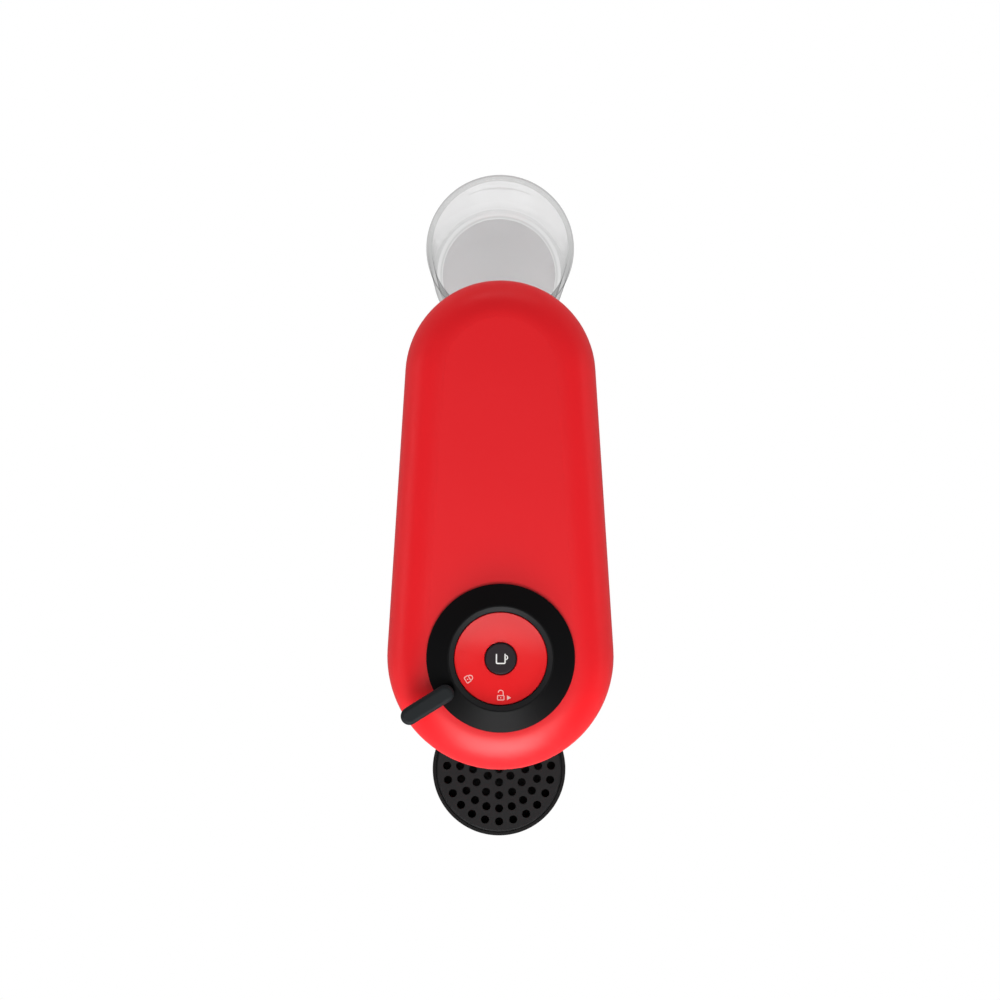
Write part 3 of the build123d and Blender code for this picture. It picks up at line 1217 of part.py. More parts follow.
# Lid shell: the head's crown, with the ring's boss, the lock tab's slot and the screw posts.
with BuildPart() as lid_shell:
    with BuildSketch(Plane.XY.offset(LID_BOTTOM)):
        add(head_outline())
    extrude(amount=LID_TOP_Z - LID_BOTTOM)
    fillet(lid_shell.edges().filter_by_position(Axis.Z, LID_TOP_Z, LID_TOP_Z), LID_EDGE_RADIUS)
    with BuildPart(mode=Mode.PRIVATE) as lid_inside:
        with BuildSketch(Plane.XY.offset(LID_BOTTOM)):
            add(head_outline(SHELL_WALL))
        extrude(amount=LID_CEILING - LID_BOTTOM)
        ceiling_edges = lid_inside.edges().filter_by_position(Axis.Z, LID_CEILING, LID_CEILING)
        fillet(ceiling_edges, LID_EDGE_RADIUS - SHELL_WALL)
    add(lid_inside.part, mode=Mode.SUBTRACT)
    for x, y in LID_SCREW_SPOTS:
        add(rod(SCREW_BOSS_RADIUS, LID_COVER_TOP, LID_CEILING, Plane((x, y, 0))))
        pilot = rod(SCREW_SHANK_RADIUS, LID_COVER_TOP, LID_COVER_Z + SCREW_LENGTH, Plane((x, y, 0)))
        add(pilot, mode=Mode.SUBTRACT)
    add(tube(BOSS_RADIUS, BOSS_BORE_RADIUS, LID_CEILING, BOSS_TOP))
    add(rod(BOSS_BORE_RADIUS, LID_CEILING, BOSS_TOP), mode=Mode.SUBTRACT)
    add(
        ring_sector(
            TAB_RADIUS + TAB_WIDTH / 2 + SLIDE_CLEARANCE,
            TAB_RADIUS - TAB_WIDTH / 2 - SLIDE_CLEARANCE,
            LEVER_ANGLE - TAB_ANGLE / 2 - SLOT_END_ANGLE,
            LEVER_ANGLE + LOCK_TURN + TAB_ANGLE / 2 + SLOT_END_ANGLE,
            LID_CEILING,
            LID_TOP_Z,
        ),
        mode=Mode.SUBTRACT,
    )

# Lid cover: the flat underside of the lid, open round the injector.
with BuildPart() as lid_cover:
    with BuildSketch(Plane.XY.offset(LID_COVER_Z)):
        add(head_outline(SHELL_WALL + SEAT_CLEARANCE))
        with Locations((0, LID_COVER_REAR_Y)):
            Rectangle(
                2 * HEAD_REAR_RADIUS,
                2 * HEAD_REAR_RADIUS,
                align=(Align.CENTER, Align.MIN),
                mode=Mode.SUBTRACT,
            )
        with Locations((0, BREW_AXIS_Y)):
            Circle(LEG_OUTER, mode=Mode.SUBTRACT)
        with Locations(*LID_SCREW_SPOTS):
            Circle(SCREW_SHANK_RADIUS, mode=Mode.SUBTRACT)
    extrude(amount=LID_COVER_THICKNESS)
    with BuildSketch(Plane.XY.offset(LID_COVER_TOP)):
        with Locations((0, BREW_AXIS_Y)):
            Circle(LEG_OUTER + LID_COVER_RIM_WALL)
            Circle(LEG_OUTER, mode=Mode.SUBTRACT)
    extrude(amount=LID_COVER_RIM_HEIGHT)

with BuildPart() as lid_screws:
    for x, y in LID_SCREW_SPOTS:
        add(rod(SCREW_HEAD_RADIUS, LID_COVER_Z - SCREW_HEAD_HEIGHT, LID_COVER_Z, Plane((x, y, 0))))
        add(rod(SCREW_SHANK_RADIUS, LID_COVER_Z, LID_COVER_Z + SCREW_LENGTH, Plane((x, y, 0))))

# Hinge arm: a goose-neck from the pin, forward and up to its pad on the lid cover.
PAD_REAR_Y = LID_COVER_REAR_Y + ARM_PAD_THICKNESS
with BuildPart() as hinge_arm:
    with BuildSketch(HINGE_AXIS):
        Circle(KNUCKLE_RADIUS)
        neck_y = PAD_REAR_Y - ARM_PAD_THICKNESS / 2
        neck_z = LID_COVER_TOP + ARM_PAD_THICKNESS / 2
        with Locations((neck_y - HINGE_Y, neck_z - HINGE_Z)):
            Circle(ARM_PAD_THICKNESS / 2)
        make_hull()
    extrude(amount=ARM_SIDE, both=True)
    add(
        block(
            (-ARM_PAD_WIDTH / 2, ARM_PAD_WIDTH / 2),
            (PAD_REAR_Y - ARM_PAD_LENGTH, PAD_REAR_Y),
            (LID_COVER_TOP, LID_COVER_TOP + ARM_PAD_THICKNESS),
        )
    )
    add(rod(HINGE_PIN_RADIUS + RUNNING_CLEARANCE, -ARM_SIDE, ARM_SIDE, HINGE_AXIS), mode=Mode.SUBTRACT)

# Water path of the lid: swivel, hose and the injector's hub.
LID_SWIVEL_LOW = EAR_OUTER + SWIVEL_WIDTH + HINGE_SIDE_GAP
LID_SWIVEL_X = LID_SWIVEL_LOW + SWIVEL_WIDTH / 2
LID_NIPPLE_DIRECTION = Vector(0, -cos(radians(LID_NIPPLE_ANGLE)), sin(radians(LID_NIPPLE_ANGLE)))
LID_NIPPLE_ROOT = Vector(LID_SWIVEL_X, HINGE_Y, HINGE_Z)
with BuildPart() as lid_swivel:
    add(
        tube(
            SWIVEL_RADIUS,
            HINGE_PIN_RADIUS + RUNNING_CLEARANCE,
            LID_SWIVEL_LOW,
            LID_SWIVEL_LOW + SWIVEL_WIDTH,
            HINGE_AXIS,
        )
    )
    nipple_axis = Plane(origin=LID_NIPPLE_ROOT, x_dir=(1, 0, 0), z_dir=LID_NIPPLE_DIRECTION)
    add(rod(NIPPLE_RADIUS, HINGE_PIN_RADIUS + SWIVEL_WALL, SWIVEL_RADIUS + NIPPLE_LENGTH, nipple_axis))

BOARD_TOP = LID_CEILING - LID_BOARD_DROP
HUB_LEDGE_TOP = BOARD_TOP - BOARD_THICKNESS
HUB_PLATE_TOP = HUB_PLATE_Z + HUB_FLANGE_THICKNESS
HUB_INLET_Z = (HUB_PLATE_TOP + HUB_LEDGE_TOP) / 2
HUB_RADIUS = HUB_BORE_RADIUS + HUB_WALL
HUB_INLET_Y = BREW_AXIS_Y + HUB_RADIUS
with BuildPart() as lid_hose:
    lid_hose_start = LID_NIPPLE_ROOT + LID_NIPPLE_DIRECTION * (SWIVEL_RADIUS + HOSE_START)
    lid_hose_bend = LID_NIPPLE_ROOT + LID_NIPPLE_DIRECTION * LID_HOSE_RISE
    add(
        hose(
            [
                lid_hose_start,
                lid_hose_bend,
                (LID_SWIVEL_X, LID_HOSE_MID_Y, HUB_INLET_Z - HOSE_BEND / 2),
                (HUB_INLET_X, LID_HOSE_FRONT_Y, HUB_INLET_Z),
                (HUB_INLET_X, HUB_INLET_Y + HOSE_START, HUB_INLET_Z),
            ],
            HOSE_BEND,
        )
    )

with BuildPart() as injector_hub:
    add(
        spun(
            [
                (SHAFT_RADIUS, HUB_PLATE_Z),
                (HUB_FLANGE_RADIUS, HUB_PLATE_Z),
                (HUB_FLANGE_RADIUS, HUB_PLATE_TOP),
                (HUB_RADIUS, HUB_PLATE_TOP),
                (HUB_RADIUS, LID_CEILING - HUB_FLANGE_THICKNESS),
                (HUB_FLANGE_RADIUS, LID_CEILING - HUB_FLANGE_THICKNESS),
                (HUB_FLANGE_RADIUS, LID_CEILING),
                (HUB_BORE_RADIUS, LID_CEILING),
                (HUB_BORE_RADIUS, HUB_LEDGE_TOP),
                (HUB_BORE_RADIUS - HUB_LEDGE_WIDTH, HUB_LEDGE_TOP),
                (HUB_BORE_RADIUS - HUB_LEDGE_WIDTH, HUB_LEDGE_TOP - HUB_LEDGE_WIDTH),
                (HUB_BORE_RADIUS, HUB_LEDGE_TOP - HUB_LEDGE_WIDTH),
                (HUB_BORE_RADIUS, HUB_PLATE_TOP),
                (SHAFT_RADIUS, HUB_PLATE_TOP),
            ]
        )
    )
    add(
        tube(
            INJECTOR_BEARING_RADIUS + HUB_WALL,
            INJECTOR_BEARING_RADIUS,
            HUB_PLATE_Z - INJECTOR_BEARING_WIDTH,
            HUB_PLATE_Z,
        )
    )
    inlet_axis = Plane(origin=(HUB_INLET_X, BREW_AXIS_Y, HUB_INLET_Z), x_dir=(1, 0, 0), z_dir=(0, 1, 0))
    add(rod(NIPPLE_RADIUS, HUB_BORE_RADIUS, HUB_RADIUS + NIPPLE_LENGTH, inlet_axis))

with BuildPart() as injector_bearing:
    add(
        tube(
            INJECTOR_BEARING_RADIUS,
            INJECTOR_SHAFT_RADIUS + RUNNING_CLEARANCE,
            HUB_PLATE_Z - INJECTOR_BEARING_WIDTH,
            HUB_PLATE_Z,
        )
    )

# Injector: the spinning plate with its ring of piercing points, its needle and the rim seal.
with BuildPart() as injector_plate:
    add(rod(INJECTOR_RADIUS, INJECTOR_BOTTOM, INJECTOR_TOP))
    add(rod(INJECTOR_SHAFT_RADIUS, INJECTOR_TOP, HUB_PLATE_Z - RING_FLOAT))
    for step in range(PIERCER_COUNT):
        angle = radians(360 / PIERCER_COUNT * step)
        spot = Plane(
            (
                PIERCER_CIRCLE_RADIUS * cos(angle),
                BREW_AXIS_Y + PIERCER_CIRCLE_RADIUS * sin(angle),
                INJECTOR_BOTTOM,
            )
        )
        add(spun([(0, -PIERCER_LENGTH), (PIERCER_RADIUS, 0), (0, 0)], spot))
    add(rod(NEEDLE_RADIUS, INJECTOR_BOTTOM, INJECTOR_TOP), mode=Mode.SUBTRACT)

with BuildPart() as injector_needle:
    add(
        spun(
            [
                (0, INJECTOR_BOTTOM - NEEDLE_LENGTH),
                (NEEDLE_RADIUS, INJECTOR_BOTTOM - NEEDLE_LENGTH + NEEDLE_POINT),
                (NEEDLE_RADIUS, INJECTOR_TOP),
                (0, INJECTOR_TOP),
            ]
        )
    )

with BuildPart() as capsule_seal:
    add(
        tube(
            INJECTOR_RADIUS,
            INJECTOR_RADIUS - SEAL_WIDTH,
            INJECTOR_BOTTOM - SEAL_THICKNESS,
            INJECTOR_BOTTOM,
        )
    )

# Start button in the glossy control disc, with its spring sleeve and the board under it.
FLANGE_TOP = BOSS_TOP - SEAT_CLEARANCE
FLANGE_BOTTOM = FLANGE_TOP - BUTTON_FLANGE_THICKNESS
BUTTON_TOP = DISC_TOP + BUTTON_PROUD
STEM_BOTTOM = BOARD_TOP + SWITCH_HEIGHT + BUTTON_TRAVEL + SLIDE_CLEARANCE
with BuildPart() as control_disc:
    add(tube(DISC_RADIUS, BUTTON_RADIUS + SLIDE_CLEARANCE, BOSS_TOP, DISC_TOP))
    chamfer(control_disc.edges().filter_by_position(Axis.Z, DISC_TOP, DISC_TOP), DISC_THICKNESS / 5)

with BuildPart() as start_button:
    add(
        spun(
            [
                (0, STEM_BOTTOM),
                (BUTTON_STEM_RADIUS, STEM_BOTTOM),
                (BUTTON_STEM_RADIUS, FLANGE_BOTTOM),
                (BUTTON_RADIUS + BUTTON_FLANGE_WIDTH, FLANGE_BOTTOM),
                (BUTTON_RADIUS + BUTTON_FLANGE_WIDTH, FLANGE_TOP),
                (BUTTON_RADIUS, FLANGE_TOP),
                (BUTTON_RADIUS, BUTTON_TOP),
                (0, BUTTON_TOP),
            ]
        )
    )
    fillet(start_button.edges().filter_by_position(Axis.Z, BUTTON_TOP, BUTTON_TOP), BUTTON_PROUD)

with BuildPart() as button_spring:
    add(
        spun(
            [
                (BUTTON_RADIUS + SLEEVE_WALL, BOARD_TOP),
                (BUTTON_RADIUS + 3 * SLEEVE_WALL, BOARD_TOP),
                (BUTTON_RADIUS + 3 * SLEEVE_WALL, BOARD_TOP + SLEEVE_WALL),
                (BUTTON_RADIUS + 2 * SLEEVE_WALL, BOARD_TOP + SLEEVE_WALL),
                (BUTTON_RADIUS, FLANGE_BOTTOM),
                (BUTTON_RADIUS - SLEEVE_WALL, FLANGE_BOTTOM),
                (BUTTON_RADIUS + SLEEVE_WALL, BOARD_TOP + SLEEVE_WALL),
            ]
        )
    )

with BuildPart() as lid_board:
    add(rod(HUB_BORE_RADIUS - SEAT_CLEARANCE, HUB_LEDGE_TOP, BOARD_TOP))
    with BuildSketch(Plane((0, BREW_AXIS_Y, BOARD_TOP))):
        Rectangle(SWITCH_SIZE, SWITCH_SIZE)
    extrude(amount=SWITCH_HEIGHT)

# Lock: a raised conical ring, its lever, and the collar that turns with it under the lid.
with BuildPart() as lock_lever:
    lever_mid = (LEVER_INNER_RADIUS + LEVER_OUTER_RADIUS) / 2
    with BuildSketch(Plane(Location((0, BREW_AXIS_Y, LEVER_TOP_Z - LEVER_THICKNESS), (0, 0, LEVER_ANGLE)))):
        with Locations((lever_mid, 0)):
            SlotOverall(LEVER_OUTER_RADIUS - LEVER_INNER_RADIUS, LEVER_WIDTH)
    extrude(amount=LEVER_THICKNESS)
    fillet(lock_lever.edges().group_by(Axis.Z)[-1], LEVER_EDGE_RADIUS)
    fillet(lock_lever.edges().group_by(Axis.Z)[0], LEVER_EDGE_RADIUS / 2)

RING_TOP = RING_BOTTOM + RING_CROWN_HEIGHT
RING_BORE = DISC_RADIUS + SLIDE_CLEARANCE
with BuildPart() as lock_ring:
    add(
        spun(
            [
                (BOSS_RADIUS + SLIDE_CLEARANCE, RING_BOTTOM),
                (RING_OUTER_RADIUS, RING_BOTTOM),
                (RING_OUTER_RADIUS, RING_BOTTOM + RING_EDGE_HEIGHT),
                (RING_CROWN_RADIUS, RING_TOP),
                (RING_CROWN_RADIUS - CROWN_WIDTH, RING_TOP),
                (RING_BORE, DISC_TOP + RING_STEP),
                (RING_BORE, RING_BOTTOM + RING_LIP_HEIGHT),
                (BOSS_RADIUS + SLIDE_CLEARANCE, RING_BOTTOM + RING_LIP_HEIGHT),
            ]
        )
    )
    add(lock_lever.part, mode=Mode.SUBTRACT)

with BuildPart() as lock_collar:
    add(tube(COLLAR_OUTER_RADIUS, COLLAR_INNER_RADIUS, COLLAR_BOTTOM, COLLAR_TOP))
    add(
        ring_sector(
            TAB_RADIUS + TAB_WIDTH / 2,
            TAB_RADIUS - TAB_WIDTH / 2,
            LEVER_ANGLE - TAB_ANGLE / 2,
            LEVER_ANGLE + TAB_ANGLE / 2,
            COLLAR_TOP,
            RING_BOTTOM,
        )
    )
    for angle in LEG_ANGLES:
        leg = ring_sector(
            COLLAR_OUTER_RADIUS,
            COLLAR_OUTER_RADIUS - COLLAR_LEG_WALL,
            angle - COLLAR_LEG_ANGLE / 2,
            angle + COLLAR_LEG_ANGLE / 2,
            DECK_TOP - COLLAR_LEG_REACH,
            COLLAR_BOTTOM,
        )
        add(leg)

PIECES = {
    "body_shell": body_shell,
    "base_plate": base_plate,
    "rubber_feet": rubber_feet,
    "base_screws": base_screws,
    "inner_frame": inner_frame,
    "brew_deck": brew_deck,
    "coffee_collector": coffee_collector,
    "coffee_outlet": coffee_outlet,
    "motor_carrier": motor_carrier,
    "motor_housing": motor_housing,
    "motor_stator": motor_stator,
    "motor_rotor": motor_rotor,
    "drive_shaft": drive_shaft,
    "shaft_bearings": shaft_bearings,
    "capsule_holder": capsule_holder,
    "capsule_chute": capsule_chute,
    "code_reader": code_reader,
    "capsule_container": capsule_container,
    "drip_tray": drip_tray,
    "tray_pads": tray_pads,
    "drip_grid": drip_grid,
    "water_tank": water_tank,
    "tank_dock": tank_dock,
    "tank_spigot": tank_spigot,
    "valve_plunger": valve_plunger,
    "valve_spring": valve_spring,
    "tank_socket": tank_socket,
    "socket_seal": socket_seal,
    "flow_meter": flow_meter,
    "water_pump": water_pump,
    "pump_cradle": pump_cradle,
    "water_heater": water_heater,
    "heater_stand": heater_stand,
    "control_board": control_board,
    "suction_hose": suction_hose,
    "pressure_hose": pressure_hose,
    "hot_hose": hot_hose,
    "cord_gland": cord_gland,
    "hinge_bracket": hinge_bracket,
    "hinge_pin": hinge_pin,
    "water_swivel": water_swivel,
    "lid_shell": lid_shell,
    "lid_cover": lid_cover,
    "lid_screws": lid_screws,
    "hinge_arm": hinge_arm,
    "lid_swivel": lid_swivel,
    "lid_hose": lid_hose,
    "injector_hub": injector_hub,
    "injector_bearing": injector_bearing,
    "injector_plate": injector_plate,
    "injector_needle": injector_needle,
    "capsule_seal": capsule_seal,
    "control_disc": control_disc,
    "start_button": start_button,
    "button_spring": button_spring,
    "lid_board": lid_board,
    "lock_ring": lock_ring,
    "lock_lever": lock_lever,
    "lock_collar": lock_collar,
}
os.makedirs("parts", exist_ok=True)
for name, piece in PIECES.items():
    piece.part.label = name
    export_step(piece.part, f"parts/{name}.step")
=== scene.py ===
from math import cos, pi, radians, sin

import bmesh
import bpy
from mathutils import Matrix, Vector


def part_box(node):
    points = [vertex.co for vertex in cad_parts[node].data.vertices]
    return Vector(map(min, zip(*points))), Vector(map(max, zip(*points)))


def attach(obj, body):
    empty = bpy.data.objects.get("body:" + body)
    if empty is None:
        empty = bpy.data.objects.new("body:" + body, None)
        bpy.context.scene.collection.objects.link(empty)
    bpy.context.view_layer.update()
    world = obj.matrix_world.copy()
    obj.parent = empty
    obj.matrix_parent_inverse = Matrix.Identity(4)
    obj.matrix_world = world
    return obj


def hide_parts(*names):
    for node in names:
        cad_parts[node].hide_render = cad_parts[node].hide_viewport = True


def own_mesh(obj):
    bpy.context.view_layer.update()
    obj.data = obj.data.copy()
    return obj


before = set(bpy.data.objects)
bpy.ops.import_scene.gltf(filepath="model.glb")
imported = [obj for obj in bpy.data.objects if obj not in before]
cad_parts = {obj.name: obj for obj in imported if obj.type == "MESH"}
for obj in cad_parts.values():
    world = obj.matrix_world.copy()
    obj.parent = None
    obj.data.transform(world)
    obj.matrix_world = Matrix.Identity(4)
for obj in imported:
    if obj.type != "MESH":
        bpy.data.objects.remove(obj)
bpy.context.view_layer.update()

MM = 0.001
UP = Vector((0, 0, 1))

# Places on the frame that the finishes and the marks are set out from.
BREW_Y = (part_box("control_disc")[0][1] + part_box("control_disc")[1][1]) / 2
BEVEL_RADIUS = 30.6 * MM
BEVEL_BLEND = 0.2 * MM
TANK_LOW, TANK_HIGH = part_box("water_tank")
TANK_Y = (TANK_LOW[1] + TANK_HIGH[1]) / 2
TANK_FLOOR_TOP = 29.0 * MM
DOCK_RADIUS = (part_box("tank_dock")[1][0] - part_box("tank_dock")[0][0]) / 2


# Colour and nodes

def linear(hex_colour):
    """The linear colour of an sRGB hex value."""
    channels = [int(hex_colour[place:place + 2], 16) / 255 for place in (1, 3, 5)]
    return [c / 12.92 if c <= 0.04045 else ((c + 0.055) / 1.055) ** 2.4 for c in channels] + [1.0]


def add_node(material, kind, options, sockets):
    """Adds one shader node, sets its options, and gives each named socket a value or a link."""
    tree = material.node_tree
    node = tree.nodes.new("ShaderNode" + kind)
    for option, value in options.items():
        setattr(node, option, value)
    for socket, value in sockets.items():
        if isinstance(value, bpy.types.NodeSocket):
            tree.links.new(value, node.inputs[socket])
        else:
            node.inputs[socket].default_value = value
    return node


def new_material(name, sockets):
    """A material whose shader has the given constant sockets."""
    material = bpy.data.materials.new(name)
    material.use_nodes = True
    shader = material.node_tree.nodes["Principled BSDF"]
    for socket, value in sockets.items():
        shader.inputs[socket].default_value = value
    return material, shader


def join(material, output, shader, socket):
    """Links an output to a socket of the shader."""
    material.node_tree.links.new(output, shader.inputs[socket])


def per_metre(size_mm):
    """A pattern's scale, from the size of one of its features."""
    return 1 / (size_mm * MM)


# What a noise texture mostly stays between, and the grain's share in a plastic's roughness.
NOISE_LOW = 0.3
NOISE_HIGH = 0.7
GRAIN_SHARE = 0.35


def moulded(name, colour, drift, gloss, grain_mm, grain_depth_mm, edge_mm=0.3, cloud_mm=45, sockets=None):
    """A moulded plastic. Its colour drifts between two near tones, its roughness runs over the range
    gloss as handling leaves it, the tool's grain stands in the bump, and its edges are a little round."""
    material, shader = new_material(name, sockets or {})
    place = add_node(material, "TexCoord", {}, {}).outputs["Object"]
    cloud = add_node(material, "TexNoise", {},
                     {"Vector": place, "Scale": per_metre(cloud_mm), "Detail": 4.0})
    grain = add_node(material, "TexNoise", {},
                     {"Vector": place, "Scale": per_metre(grain_mm), "Detail": 2.0})
    tone = add_node(material, "Mix", {"data_type": "RGBA"},
                    {"Factor": cloud.outputs["Fac"], 6: linear(colour), 7: linear(drift)})
    blotch = add_node(material, "Mix", {},
                      {"Factor": GRAIN_SHARE, 2: cloud.outputs["Fac"], 3: grain.outputs["Fac"]})
    rough = add_node(material, "MapRange", {},
                     {"Value": blotch.outputs[0], "From Min": NOISE_LOW, "From Max": NOISE_HIGH,
                      "To Min": gloss[0], "To Max": gloss[1]})
    edge = add_node(material, "Bevel", {"samples": 4}, {"Radius": edge_mm * MM})
    bump = add_node(material, "Bump", {},
                    {"Height": grain.outputs["Fac"], "Distance": grain_depth_mm * MM, "Strength": 1.0,
                     "Normal": edge.outputs["Normal"]})
    join(material, tone.outputs[2], shader, "Base Color")
    join(material, rough.outputs["Result"], shader, "Roughness")
    join(material, bump.outputs["Normal"], shader, "Normal")
    return material


# Plastics of the case

def red_satin_abs():
    """ABS from a finely blasted tool: a deep even red, with a broad soft sheen and a faint peel."""
    return moulded("red_satin_abs", "#E3141D", "#E6161F", (0.34, 0.44), 1.6, 0.006,
                   sockets={"IOR": 1.52, "Specular IOR Level": 0.48})


def red_gloss_acrylic():
    """Acrylic from a polished tool: clear red with a hard wet gloss that mirrors the soft boxes."""
    return moulded("red_gloss_acrylic", "#E81C20", "#EA1E22", (0.05, 0.09), 6.0, 0.001, cloud_mm=25,
                   sockets={"IOR": 1.49})


def black_grained_abs():
    """ABS from a spark eroded tool: near black and dull, with a fine grain that greys towards the
    light. The bevel round the ring's bore is painted a paler dark grey, a painted sheen for the light it
    catches, so it stands out as a band of dark grey."""
    material = moulded("black_grained_abs", "#060607", "#09090A", (0.40, 0.50), 0.7, 0.015,
                       sockets={"IOR": 1.52, "Specular IOR Level": 0.16})
    shader = material.node_tree.nodes["Principled BSDF"]
    place = add_node(material, "TexCoord", {}, {}).outputs["Object"]
    flat = add_node(material, "Mapping", {},
                    {"Vector": place, "Location": (0, -BREW_Y, 0), "Scale": (1, 1, 0)})
    radius = add_node(material, "VectorMath", {"operation": "LENGTH"}, {0: flat.outputs["Vector"]})
    # Painted sheen: a band of paler grey on the bevel round the bore, for the light that the bevel catches.
    bevel = add_node(material, "MapRange", {},
                     {"Value": radius.outputs["Value"], "From Min": BEVEL_RADIUS - BEVEL_BLEND,
                      "From Max": BEVEL_RADIUS, "To Min": 1.0, "To Max": 0.0}).outputs["Result"]
    grained = shader.inputs["Base Color"].links[0].from_socket
    tone = add_node(material, "Mix", {"data_type": "RGBA"},
                    {"Factor": bevel, 6: grained, 7: linear("#232526")})
    join(material, tone.outputs[2], shader, "Base Color")
    return material


def charcoal_soft_touch():
    """ABS under soft touch paint, on the lever: a cool charcoal, matt, with the faint nap of the paint."""
    return moulded("charcoal_soft_touch", "#1C1F21", "#212426", (0.50, 0.62), 0.6, 0.012, cloud_mm=15,
                   sockets={"IOR": 1.5, "Specular IOR Level": 0.2})


def soft_touch_black():
    """ABS under soft touch paint: a warm charcoal that is matt all over."""
    return moulded("soft_touch_black", "#241C20", "#281F24", (0.50, 0.62), 0.5, 0.012, cloud_mm=12,
                   sockets={"IOR": 1.5, "Specular IOR Level": 0.3})


def black_polypropylene():
    """Polypropylene, moulded with a fine matt grain: black and waxy, with patches that shine a little."""
    return moulded("black_polypropylene", "#0A0A0B", "#0F0F10", (0.38, 0.54), 0.9, 0.015,
                   sockets={"IOR": 1.49, "Specular IOR Level": 0.22})


def charcoal_polypropylene():
    """Polypropylene for the grid: charcoal, matt and finely grained, so that it takes no clear highlight."""
    return moulded("charcoal_polypropylene", "#121213", "#171718", (0.52, 0.66), 0.8, 0.02,
                   sockets={"IOR": 1.49, "Specular IOR Level": 0.3})


def grey_dock_abs():
    """ABS of the tank's dock: a plain light grey with a soft sheen."""
    return moulded("grey_dock_abs", "#E6E6E7", "#EBEBEC", (0.40, 0.52), 1.0, 0.012, sockets={"IOR": 1.52})


def grey_acetal():
    """Acetal of the small water fittings: pale grey and slippery, almost without grain."""
    return moulded("grey_acetal", "#B0B1B2", "#BCBDBE", (0.28, 0.38), 1.5, 0.006, cloud_mm=15,
                   sockets={"IOR": 1.48})


def glass_filled_nylon():
    """Nylon with glass fibre, for the frame and the brewing head: dark grey, with a faint streaky flow."""
    return moulded("glass_filled_nylon", "#1D1D1F", "#28282A", (0.42, 0.60), 0.6, 0.02, cloud_mm=18,
                   sockets={"IOR": 1.53})


def off_white_polyester():
    """Glass filled polyester of the pump's body: ivory and dull."""
    return moulded("off_white_polyester", "#CFC9B6", "#D8D3C2", (0.48, 0.60), 0.8, 0.015, cloud_mm=20,
                   sockets={"IOR": 1.55})


# Clear, soft and metal pieces

RIM_DEPTH = 4.0 * MM
TINT_BLEND = 0.5 * MM
FLOOR_TINT = 0.38
# How grey the floor's corner round the dock is: painted shade on the table seen through it.
CORNER_PAINTED_SHADE = 0.75
HAZE_MM = 30
MOULDING_WAVE_MM = 24
MOULDING_WAVE_DEPTH = 0.12 * MM
SHINE_FALLOFF = 5.0
# How sharply the painted shade along the walls' outline falls off.
OUTLINE_FALLOFF = 60.0
SHINE_FACING = 0.04
SHINE_AT_EDGE = 0.3


